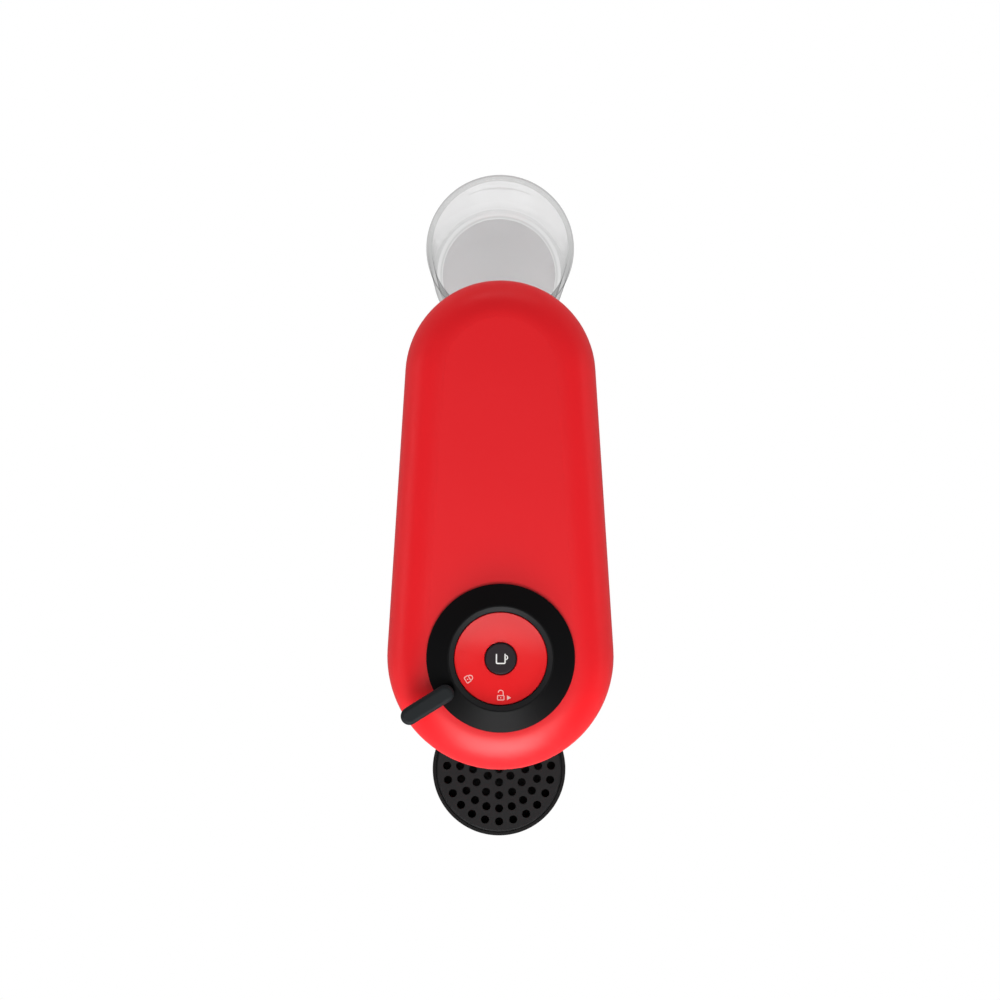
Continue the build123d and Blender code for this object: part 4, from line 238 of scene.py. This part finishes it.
def clear_copolymer():
    """Clear styrene copolymer of the tank: colourless walls, too thin to bend the view. They shine more the
    flatter they are seen, and carry faint moulding waves. They are grey in the rim, where they are thicker,
    and a little in the floor. Along their outline they are greyed as painted shade, for the dark things seen
    bent through their edges, and the floor is greyer in its corner than over the dock, as painted shade on
    the table seen through it. The metallic shader is only the mirror of their surface."""
    material, shader = new_material("clear_styrene_copolymer",
                                    {"Metallic": 1.0, "Base Color": linear("#FFFFFF")})
    place = add_node(material, "TexCoord", {}, {}).outputs["Object"]
    haze = add_node(material, "TexNoise", {}, {"Vector": place, "Scale": per_metre(HAZE_MM), "Detail": 3.0})
    wave = add_node(material, "TexNoise", {},
                    {"Vector": place, "Scale": per_metre(MOULDING_WAVE_MM), "Detail": 0.0})
    rough = add_node(material, "MapRange", {},
                     {"Value": haze.outputs["Fac"], "To Min": 0.03, "To Max": 0.10})
    bump = add_node(material, "Bump", {}, {"Height": wave.outputs["Fac"], "Distance": MOULDING_WAVE_DEPTH})
    flat = add_node(material, "LayerWeight", {}, {"Blend": 0.5}).outputs["Facing"]
    shine = add_node(material, "Math", {"operation": "POWER"}, {0: flat, 1: SHINE_FALLOFF})
    share = add_node(material, "MapRange", {},
                     {"Value": shine.outputs[0], "To Min": SHINE_FACING, "To Max": SHINE_AT_EDGE})
    height = add_node(material, "SeparateXYZ", {}, {"Vector": place}).outputs["Z"]
    rim_foot = TANK_HIGH[2] - RIM_DEPTH
    rim = add_node(material, "MapRange", {},
                   {"Value": height, "From Min": rim_foot - TINT_BLEND, "From Max": rim_foot + TINT_BLEND})
    floor = add_node(material, "MapRange", {},
                     {"Value": height, "From Min": TANK_FLOOR_TOP, "From Max": TANK_FLOOR_TOP + TINT_BLEND,
                      "To Min": 1.0, "To Max": 0.0})
    centred = add_node(material, "Mapping", {},
                       {"Vector": place, "Location": (0, -TANK_Y, 0), "Scale": (1, 1, 0)})
    radius = add_node(material, "VectorMath", {"operation": "LENGTH"}, {0: centred.outputs["Vector"]})
    # Painted shade: the floor greys more outside the dock, so that the table seen through its corner looks
    # shaded.
    corner = add_node(material, "MapRange", {},
                      {"Value": radius.outputs["Value"], "From Min": DOCK_RADIUS,
                       "From Max": DOCK_RADIUS + 2 * TINT_BLEND,
                       "To Min": FLOOR_TINT, "To Max": CORNER_PAINTED_SHADE})
    # The tint of the rim and the floor, with the painted shade of the floor's corner.
    tint_and_painted_shade = add_node(material, "Math", {"operation": "MULTIPLY_ADD"},
                     {0: floor.outputs[0], 1: corner.outputs[0], 2: rim.outputs[0]})
    wall_tint = add_node(material, "Mix", {"data_type": "RGBA"},
                         {"Factor": tint_and_painted_shade.outputs[0], 6: linear("#FBFBFB"), 7: linear("#DFDFDF")})
    # Painted shade: the walls grey towards their outline, for the dark things seen bent through their edges.
    outline = add_node(material, "Math", {"operation": "POWER"}, {0: flat, 1: OUTLINE_FALLOFF})
    tint = add_node(material, "Mix", {"data_type": "RGBA"},
                    {"Factor": outline.outputs[0], 6: wall_tint.outputs[2], 7: linear("#8A8B8B")})
    clear = add_node(material, "BsdfTransparent", {}, {"Color": tint.outputs[2]})
    wall = add_node(material, "MixShader", {},
                    {0: share.outputs["Result"], 1: clear.outputs[0], 2: shader.outputs[0]})
    join(material, rough.outputs["Result"], shader, "Roughness")
    join(material, bump.outputs["Normal"], shader, "Normal")
    join(material, wall.outputs[0], material.node_tree.nodes["Material Output"], "Surface")
    return material


def black_rubber():
    """Moulded rubber: black with a grey bloom, and dead matt."""
    return moulded("black_rubber", "#141414", "#202020", (0.72, 0.88), 0.5, 0.03, cloud_mm=10,
                   sockets={"IOR": 1.52})


def milky_silicone():
    """Extruded silicone hose: milky white, letting a little light in, with a waxy sheen."""
    return moulded("milky_silicone", "#CFCFCB", "#DADAD6", (0.35, 0.48), 2.0, 0.01, cloud_mm=12,
                   sockets={"IOR": 1.41, "Subsurface Weight": 0.2, "Subsurface Scale": 1.5 * MM})


def metal(name, colour, drift, gloss, streak_mm, depth_mm):
    """A bare metal: tone and roughness follow the marks that its making left, of the given size each way."""
    material, shader = new_material(name, {"Metallic": 1.0})
    place = add_node(material, "TexCoord", {}, {}).outputs["Object"]
    turn = add_node(material, "Mapping", {},
                    {"Vector": place, "Scale": [per_metre(size) for size in streak_mm]})
    marks = add_node(material, "TexNoise", {},
                     {"Vector": turn.outputs["Vector"], "Scale": 1.0, "Detail": 3.0})
    tone = add_node(material, "Mix", {"data_type": "RGBA"},
                    {"Factor": marks.outputs["Fac"], 6: linear(colour), 7: linear(drift)})
    rough = add_node(material, "MapRange", {},
                     {"Value": marks.outputs["Fac"], "From Min": NOISE_LOW, "From Max": NOISE_HIGH,
                      "To Min": gloss[0], "To Max": gloss[1]})
    bump = add_node(material, "Bump", {}, {"Height": marks.outputs["Fac"], "Distance": depth_mm * MM})
    join(material, tone.outputs[2], shader, "Base Color")
    join(material, rough.outputs["Result"], shader, "Roughness")
    join(material, bump.outputs["Normal"], shader, "Normal")
    return material


def turned_steel():
    """Turned stainless steel: bright, with fine lines left across the work by the tool."""
    return metal("turned_stainless_steel", "#A8A8AA", "#BCBCBE", (0.18, 0.32), (3.0, 3.0, 0.4), 0.004)


def zinc_plated_steel():
    """Zinc plated sheet: cool grey with a cloudy spangle."""
    return metal("zinc_plated_steel", "#8F9396", "#A5A9AC", (0.30, 0.46), (6.0, 6.0, 6.0), 0.006)


def cast_aluminium():
    """Die cast aluminium: pale grey, with a dull sandy skin."""
    return metal("die_cast_aluminium", "#9C9DA0", "#B1B2B4", (0.38, 0.55), (1.2, 1.2, 1.2), 0.03)


# The wave texture runs through 20 radians in each of its units, so this is the length of one band.
WAVE_PERIOD = 2 * pi / 20
WIRE_PITCH_MM = 0.35
WIRE_DEPTH = 0.1 * MM
TRACK_PITCH_MM = 2.5
TRACK_DEPTH = 0.05 * MM


def varnished_winding():
    """Enamelled copper in a laminated core: brown bands of wire, about a third of a millimetre apart, under
    varnish."""
    material, shader = new_material("varnished_winding", {"Metallic": 0.6, "Coat Weight": 0.5})
    place = add_node(material, "TexCoord", {}, {}).outputs["Object"]
    turns = add_node(material, "TexWave", {"bands_direction": "Z"},
                     {"Vector": place, "Scale": WAVE_PERIOD * per_metre(WIRE_PITCH_MM), "Distortion": 1.5})
    tone = add_node(material, "Mix", {"data_type": "RGBA"},
                    {"Factor": turns.outputs["Fac"], 6: linear("#4A2A18"), 7: linear("#A8683C")})
    rough = add_node(material, "MapRange", {},
                     {"Value": turns.outputs["Fac"], "To Min": 0.45, "To Max": 0.3})
    bump = add_node(material, "Bump", {}, {"Height": turns.outputs["Fac"], "Distance": WIRE_DEPTH})
    join(material, tone.outputs[2], shader, "Base Color")
    join(material, rough.outputs["Result"], shader, "Roughness")
    join(material, bump.outputs["Normal"], shader, "Normal")
    return material


def green_solder_mask():
    """A printed board under green solder mask: paler tracks about 2.5 mm apart show through the lacquer."""
    material, shader = new_material("green_solder_mask", {"IOR": 1.5, "Coat Weight": 0.4})
    place = add_node(material, "TexCoord", {}, {}).outputs["Object"]
    tracks = add_node(material, "TexVoronoi", {"distance": "CHEBYCHEV", "feature": "F2"},
                      {"Vector": place, "Scale": per_metre(TRACK_PITCH_MM)})
    tone = add_node(material, "Mix", {"data_type": "RGBA"},
                    {"Factor": tracks.outputs["Distance"], 6: linear("#0E4A28"), 7: linear("#1E7040")})
    rough = add_node(material, "MapRange", {},
                     {"Value": tracks.outputs["Distance"], "To Min": 0.3, "To Max": 0.45})
    bump = add_node(material, "Bump", {}, {"Height": tracks.outputs["Distance"], "Distance": TRACK_DEPTH})
    join(material, tone.outputs[2], shader, "Base Color")
    join(material, rough.outputs["Result"], shader, "Roughness")
    join(material, bump.outputs["Normal"], shader, "Normal")
    return material


def printed_ink(name, colour, drift):
    """Pad printed ink: opaque and slightly chalky, thinner in places where the pad lifted."""
    return moulded(name, colour, drift, (0.45, 0.60), 0.3, 0.004, edge_mm=0.05, cloud_mm=1.5,
                   sockets={"IOR": 1.5})


FINISHES = {
    red_satin_abs: ["lid_shell", "body_shell"],
    red_gloss_acrylic: ["control_disc"],
    black_grained_abs: ["lock_ring"],
    charcoal_soft_touch: ["lock_lever"],
    soft_touch_black: ["start_button"],
    black_polypropylene: ["drip_tray", "capsule_container"],
    charcoal_polypropylene: ["drip_grid"],
    grey_dock_abs: ["tank_dock"],
    grey_acetal: ["tank_spigot", "tank_socket", "flow_meter", "valve_plunger", "water_swivel", "lid_swivel"],
    glass_filled_nylon: ["brew_deck", "coffee_collector", "coffee_outlet", "lid_cover", "lock_collar",
                         "capsule_holder", "injector_plate", "injector_hub", "capsule_chute", "inner_frame",
                         "motor_carrier", "base_plate", "code_reader", "hinge_arm", "cord_gland"],
    off_white_polyester: ["water_pump"],
    clear_copolymer: ["water_tank"],
    black_rubber: ["rubber_feet", "tray_pads", "capsule_seal", "socket_seal", "pump_cradle",
                   "button_spring"],
    milky_silicone: ["suction_hose", "pressure_hose", "hot_hose", "lid_hose"],
    turned_steel: ["drive_shaft", "shaft_bearings", "hinge_pin", "injector_needle", "injector_bearing",
                   "valve_spring", "base_screws", "lid_screws"],
    zinc_plated_steel: ["hinge_bracket", "heater_stand", "motor_housing"],
    cast_aluminium: ["water_heater"],
    varnished_winding: ["motor_stator", "motor_rotor"],
    green_solder_mask: ["control_board", "lid_board"],
}


def finish_nodes():
    """Gives every solid of the frame its material."""
    for finish, names in FINISHES.items():
        material = finish()
        for name in names:
            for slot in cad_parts[name].material_slots:
                slot.material = material


# Printed marks and level lines

LEAST_STEPS = 4
STEPS_PER_RADIAN = 8
PRINT_MERGE = 0.005 * MM


def draw_line(bm, start, heading, width, moves):
    """Draws a flat line as a pen does. A move is a length to go straight on, or a pair, radius and turn."""
    along = Vector((cos(heading), sin(heading), 0))
    left = UP.cross(along)
    pen = Vector(start)
    edge = bm.edges.new([bm.verts.new(pen + left * width / 2), bm.verts.new(pen - left * width / 2)])
    for move in moves:
        if isinstance(move, tuple):
            radius, turn = move
            bend = 1 if turn > 0 else -1
            centre = pen + left * radius * bend
            spun = bmesh.ops.spin(bm, geom=[edge, *edge.verts], cent=centre, axis=UP, angle=turn,
                                  steps=max(LEAST_STEPS, round(abs(turn) * STEPS_PER_RADIAN)),
                                  use_duplicate=False)
            edge = [part for part in spun["geom_last"] if isinstance(part, bmesh.types.BMEdge)][0]
            swing = Matrix.Rotation(turn, 3, "Z")
            pen = centre + swing @ (pen - centre)
            along = swing @ along
            left = swing @ left
        else:
            grown = bmesh.ops.extrude_edge_only(bm, edges=[edge])["geom"]
            edge = [part for part in grown if isinstance(part, bmesh.types.BMEdge)
                    and all(vert in grown for vert in part.verts)][0]
            bmesh.ops.translate(bm, verts=edge.verts, vec=along * move)
            pen = pen + along * move


def raise_print(bm, depth):
    """Gives flat print its thickness, with all its faces outwards."""
    bmesh.ops.remove_doubles(bm, verts=bm.verts, dist=PRINT_MERGE)
    bmesh.ops.recalc_face_normals(bm, faces=bm.faces)
    grown = bmesh.ops.extrude_face_region(bm, geom=bm.faces[:])["geom"]
    bmesh.ops.translate(bm, verts=[v for v in grown if isinstance(v, bmesh.types.BMVert)], vec=UP * depth)
    bmesh.ops.recalc_face_normals(bm, faces=bm.faces)


def add_piece(name, bm, material, body, smooth=True):
    """Makes a bmesh a piece of the object, at the origin, riding on a body."""
    mesh = bpy.data.meshes.new(name)
    bm.to_mesh(mesh)
    bm.free()
    for face in mesh.polygons:
        face.use_smooth = smooth
    piece = bpy.data.objects.new(name, mesh)
    bpy.context.scene.collection.objects.link(piece)
    mesh.materials.append(material)
    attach(piece, body)
    return piece


PRINT_DEPTH = 0.04 * MM
CUP_WIDTH = 5.1 * MM
CUP_HEIGHT = 5.6 * MM
CUP_LINE = 0.75 * MM
CUP_EAR_LINE = 0.6 * MM
CUP_CORNER = 0.7 * MM
CUP_EAR = 1.2 * MM
CUP_EAR_TOP = 1.9 * MM
CUP_EAR_REACH = 0.3 * MM
LOCK_WIDTH = 3.8 * MM
LOCK_HEIGHT = 2.6 * MM
LOCK_LINE = 0.48 * MM
LOCK_CORNER = 0.4 * MM
SHACKLE_RADIUS = 1.45 * MM
CLOSED_LEG = 0.5 * MM
OPEN_LEG = 1.7 * MM
KEYHOLE = 0.8 * MM
MARK_RADIUS = 23.0 * MM
ARROW_RADIUS = 1.6 * MM
ARROW_X = 4.5 * MM
CLOSED_ANGLE = radians(212)
OPEN_ANGLE = radians(270)


def cup_mark():
    """The outline of a mug with a small round handle, printed on the start button."""
    bm = bmesh.new()
    corner = (CUP_CORNER, pi / 2)
    wall = CUP_HEIGHT - CUP_CORNER
    draw_line(bm, (-CUP_WIDTH / 2, CUP_HEIGHT / 2, 0), -pi / 2, CUP_LINE,
              [wall, corner, CUP_WIDTH - 2 * CUP_CORNER, corner, wall])
    draw_line(bm, (CUP_WIDTH / 2, CUP_EAR_TOP, 0), 0, CUP_EAR_LINE,
              [CUP_EAR_REACH, (CUP_EAR, -pi), CUP_EAR_REACH])
    raise_print(bm, PRINT_DEPTH)
    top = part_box("start_button")[1][2]
    bmesh.ops.translate(bm, verts=bm.verts, vec=(0, BREW_Y, top))
    ink = printed_ink("white_pad_ink", "#E9E6E4", "#F4F2F0")
    add_piece("cup_mark", bm, ink, "button", False)


def padlock(bm, is_open):
    """A padlock's outline, upright about its own centre. An open one stands on its right leg alone."""
    side = LOCK_HEIGHT - 2 * LOCK_CORNER
    floor = LOCK_WIDTH - 2 * LOCK_CORNER
    corner = (LOCK_CORNER, pi / 2)
    shackle = [OPEN_LEG, (SHACKLE_RADIUS, pi)] if is_open else [CLOSED_LEG, (SHACKLE_RADIUS, pi), CLOSED_LEG]
    draw_line(bm, (-LOCK_WIDTH / 2, side / 2, 0), -pi / 2, LOCK_LINE,
              [side, corner, floor, corner, side, corner, floor, corner])
    draw_line(bm, (SHACKLE_RADIUS, LOCK_HEIGHT / 2, 0), pi / 2, LOCK_LINE, shackle)
    draw_line(bm, (0, KEYHOLE / 2, 0), -pi / 2, LOCK_LINE, [KEYHOLE])


def lock_marks():
    """The closed mark at the lever's rest, and the open mark and its arrow at the front of the disc."""
    ink = printed_ink("rose_pad_ink", "#F5B9B4", "#F8CCC8")
    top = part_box("control_disc")[1][2]
    for name, angle, is_open in (("closed_mark", CLOSED_ANGLE, False), ("open_mark", OPEN_ANGLE, True)):
        bm = bmesh.new()
        padlock(bm, is_open)
        raise_print(bm, PRINT_DEPTH)
        place = (Matrix.Translation((0, BREW_Y, top)) @ Matrix.Rotation(angle + pi / 2, 4, "Z")
                 @ Matrix.Translation((0, -MARK_RADIUS, 0)))
        bmesh.ops.transform(bm, matrix=place, verts=bm.verts)
        add_piece(name, bm, ink, "lid", False)
    bm = bmesh.new()
    bmesh.ops.create_circle(bm, cap_ends=True, segments=3, radius=ARROW_RADIUS)
    raise_print(bm, PRINT_DEPTH)
    place = (Matrix.Translation((ARROW_X, BREW_Y - MARK_RADIUS, top)) @ Matrix.Rotation(-pi / 2, 4, "Z"))
    bmesh.ops.transform(bm, matrix=place, verts=bm.verts)
    add_piece("arrow_mark", bm, ink, "lid", False)


TANK_RIM_RADIUS = (TANK_HIGH[0] - TANK_LOW[0]) / 2
LEVEL_INSET = 0.77 * MM
LEVEL_STEPS = 32
# How far a line's upper edge lies under the rim, its height, and its sweep round the tank.
LEVEL_LINES = [(49.0 * MM, 1.0 * MM, radians(52)), (53.5 * MM, 0.8 * MM, radians(20))]


def level_lines():
    """The upper level line and the short line under it, printed round the back of the tank."""
    ink = printed_ink("frosted_level_ink", "#DADCDD", "#E6E8E9")
    axis = Vector((0, TANK_Y, 0))
    bm = bmesh.new()
    for drop, height, sweep in LEVEL_LINES:
        top = TANK_HIGH[2] - drop
        start = Matrix.Rotation((pi - sweep) / 2, 3, "Z") @ Vector((TANK_RIM_RADIUS - LEVEL_INSET, 0, 0))
        ends = [bm.verts.new(axis + start + UP * level) for level in (top - height, top)]
        edge = bm.edges.new(ends)
        bmesh.ops.spin(bm, geom=[edge, *ends], cent=axis, axis=UP, angle=sweep, steps=LEVEL_STEPS,
                       use_duplicate=False)
    bmesh.ops.recalc_face_normals(bm, faces=bm.faces)
    bmesh.ops.solidify(bm, geom=bm.faces[:], thickness=PRINT_DEPTH)
    bmesh.ops.recalc_face_normals(bm, faces=bm.faces)
    add_piece("tank_level_lines", bm, ink, "tank")


# Springs

SHARP_EDGE = radians(35)
SPRING_SLACK = 0.02 * MM
SPRING_MERGE = 0.002 * MM
# A spring's node, its joint, the way it shortens, that joint's travel, its body and its slot.
SPRINGS = [
    ("button_spring", "button_press", -UP, 1.5 * MM, "lid", "rubber"),
    ("valve_spring", "valve_travel", Vector((0, 1, 0)), 1.5 * MM, "tank", "steel"),
]


def springs():
    """The two springs, as pieces with the shape of their nodes. Each has a little slack at its free end, so
    that it never cuts into what presses on it."""
    for node, joint, way, travel, body, slot in SPRINGS:
        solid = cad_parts[node]
        low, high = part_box(node)
        length = abs(way.dot(Vector(high) - Vector(low)))
        fixed_end = Vector(high if way.dot((1, 1, 1)) > 0 else low)
        slack = (Matrix.Translation(fixed_end) @ Matrix.Scale(1 - SPRING_SLACK / length, 4, way)
                 @ Matrix.Translation(-fixed_end))
        bm = bmesh.new()
        bm.from_mesh(solid.data)
        bmesh.ops.transform(bm, matrix=slack @ solid.matrix_world, verts=bm.verts)
        bmesh.ops.remove_doubles(bm, verts=bm.verts, dist=SPRING_MERGE)
        bmesh.ops.recalc_face_normals(bm, faces=bm.faces)
        spring = add_piece(node + "_wound", bm, solid.material_slots[0].material, body)
        spring.data.set_sharp_from_angle(angle=SHARP_EDGE)
        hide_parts(node)
        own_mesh(spring)


# Floor, light and camera

TABLE_REACH = 6.0
WHITE = 1.0
WALL_LIGHT = 0.26
UNDER_LIGHT = 0.25
UNDER_TOP = -0.05
WALL_TOP = 0.12
CEILING_LIGHT = 0.18
CEILING_EDGE = 0.4

# The points that the lamps face.
HEAD = Vector((0.0, -0.05, 0.24))
DISC = Vector((0.0, -0.111, 0.24))
DOCK = Vector((0.0, 0.17, 0.03))

# A lamp's name, watts, azimuth from the front, elevation, distance, what it faces, and its width and height.
GLOSSY_BOXES = [
    ("front_key", 21.0, 0, 43, 1.6, HEAD, (1.1, 1.1)),
    ("disc_strip", 0.8, 0, 90, 2.16, DISC, (1.2, 0.12)),
]
POLARISED_BOXES = [
    ("front_fill", 11.5, 0, 16, 1.2, HEAD, (1.0, 0.3)),
    ("rear_fill", 12.5, 180, 12, 1.6, HEAD, (1.2, 0.3)),
    ("left_fill", 9.0, -90, 5, 1.6, HEAD, (1.2, 0.3)),
    ("right_fill", 9.0, 90, 5, 1.6, HEAD, (1.2, 0.3)),
]
TANK_BOX = ("tank_box", 13.5, 180, 78, 1.3, DOCK, (0.6, 0.6))


def table():
    """A white light table. It looks white all over, but throws back only half of the light, and no glare, so
    that the sides of the case keep their depth of colour."""
    bm = bmesh.new()
    bmesh.ops.create_grid(bm, x_segments=1, y_segments=1, size=TABLE_REACH)
    mesh = bpy.data.meshes.new("studio_floor")
    bm.to_mesh(mesh)
    bm.free()
    floor = bpy.data.objects.new("studio_floor", mesh)
    bpy.context.scene.collection.objects.link(floor)
    white, shader = new_material("white_light_table", {"Roughness": 0.9, "Specular IOR Level": 0.1,
                                                       "Base Color": linear("#BCBCBC")})
    seen = add_node(white, "LightPath", {}, {}).outputs["Is Camera Ray"]
    glow = add_node(white, "Emission", {}, {"Color": linear("#FFFFFF"), "Strength": WHITE})
    look = add_node(white, "MixShader", {}, {0: seen, 1: shader.outputs[0], 2: glow.outputs[0]})
    join(white, look.outputs[0], white.node_tree.nodes["Material Output"], "Surface")
    mesh.materials.append(white)
    floor.visible_glossy = False


def room():
    """A dim room, a little lighter round its walls than at its ceiling, behind a white sweep. The heights
    are those of a direction of length one."""
    world = bpy.data.worlds.new("studio_room")
    bpy.context.scene.world = world
    world.use_nodes = True
    way = add_node(world, "TexCoord", {}, {}).outputs["Generated"]
    height = add_node(world, "SeparateXYZ", {}, {"Vector": way}).outputs["Z"]
    upper = add_node(world, "MapRange", {}, {"Value": height, "From Min": WALL_TOP, "From Max": CEILING_EDGE,
                                             "To Min": WALL_LIGHT, "To Max": CEILING_LIGHT})
    above = add_node(world, "Math", {"operation": "GREATER_THAN"}, {0: height, 1: UNDER_TOP})
    light = add_node(world, "Mix", {},
                     {"Factor": above.outputs[0], 2: UNDER_LIGHT, 3: upper.outputs["Result"]})
    seen = add_node(world, "LightPath", {}, {}).outputs["Is Camera Ray"]
    sweep = add_node(world, "Mix", {}, {"Factor": seen, 2: light.outputs[0], 3: WHITE})
    background = world.node_tree.nodes["Background"]
    background.inputs["Color"].default_value = linear("#FFFFFF")
    join(world, sweep.outputs[0], background, "Strength")


def soft_box(name, watts, azimuth, elevation, distance, aim, size):
    """A soft box that faces the point aim, from the given direction and distance."""
    lamp = bpy.data.lights.new(name, "AREA")
    lamp.shape = "RECTANGLE"
    lamp.size, lamp.size_y = size
    lamp.energy = watts
    box = bpy.data.objects.new(name, lamp)
    turn = Matrix.Rotation(radians(azimuth), 4, "Z") @ Matrix.Rotation(radians(90 - elevation), 4, "X")
    box.matrix_world = Matrix.Translation(aim) @ turn @ Matrix.Translation(UP * distance)
    bpy.context.scene.collection.objects.link(box)
    return box


def light_the_object():
    """Soft boxes in front and above, polarised ones low down all round, which fill the edges without a glare
    and shade the lid behind the ring, and one that is masked off so that only the tank's dock gets it."""
    for box in GLOSSY_BOXES:
        soft_box(*box)
    for box in POLARISED_BOXES:
        soft_box(*box).visible_glossy = False
    masked = bpy.data.collections.new("lit_by_tank_box")
    masked.objects.link(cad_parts["tank_dock"])
    soft_box(*TANK_BOX).light_linking.receiver_collection = masked


CAMERA_HEIGHT = 1.635
CAMERA_X = -7.5 * MM
CAMERA_Y = -9.8 * MM
SENSOR_MM = 36.0
FOCAL_PIXELS = 2365
IMAGE_PIXELS = 1000
NADIR_PIXELS_BELOW_CENTRE = 35
NADIR_PIXELS_LEFT_OF_CENTRE = 12


def camera():
    """The photograph's viewpoint: straight down over the middle of the machine, tilted a little to the rear
    and the right."""
    lens = bpy.data.cameras.new("top_camera")
    lens.sensor_width = SENSOR_MM
    lens.lens = SENSOR_MM * FOCAL_PIXELS / IMAGE_PIXELS
    eye = bpy.data.objects.new("top_camera", lens)
    eye.location = (CAMERA_X, CAMERA_Y, CAMERA_HEIGHT)
    eye.rotation_euler = (NADIR_PIXELS_BELOW_CENTRE / FOCAL_PIXELS,
                          -NADIR_PIXELS_LEFT_OF_CENTRE / FOCAL_PIXELS, 0)
    bpy.context.scene.collection.objects.link(eye)
    bpy.context.scene.camera = eye
    bpy.context.scene.view_settings.view_transform = "Standard"


finish_nodes()
cup_mark()
lock_marks()
level_lines()
springs()
table()
room()
light_the_object()
camera()
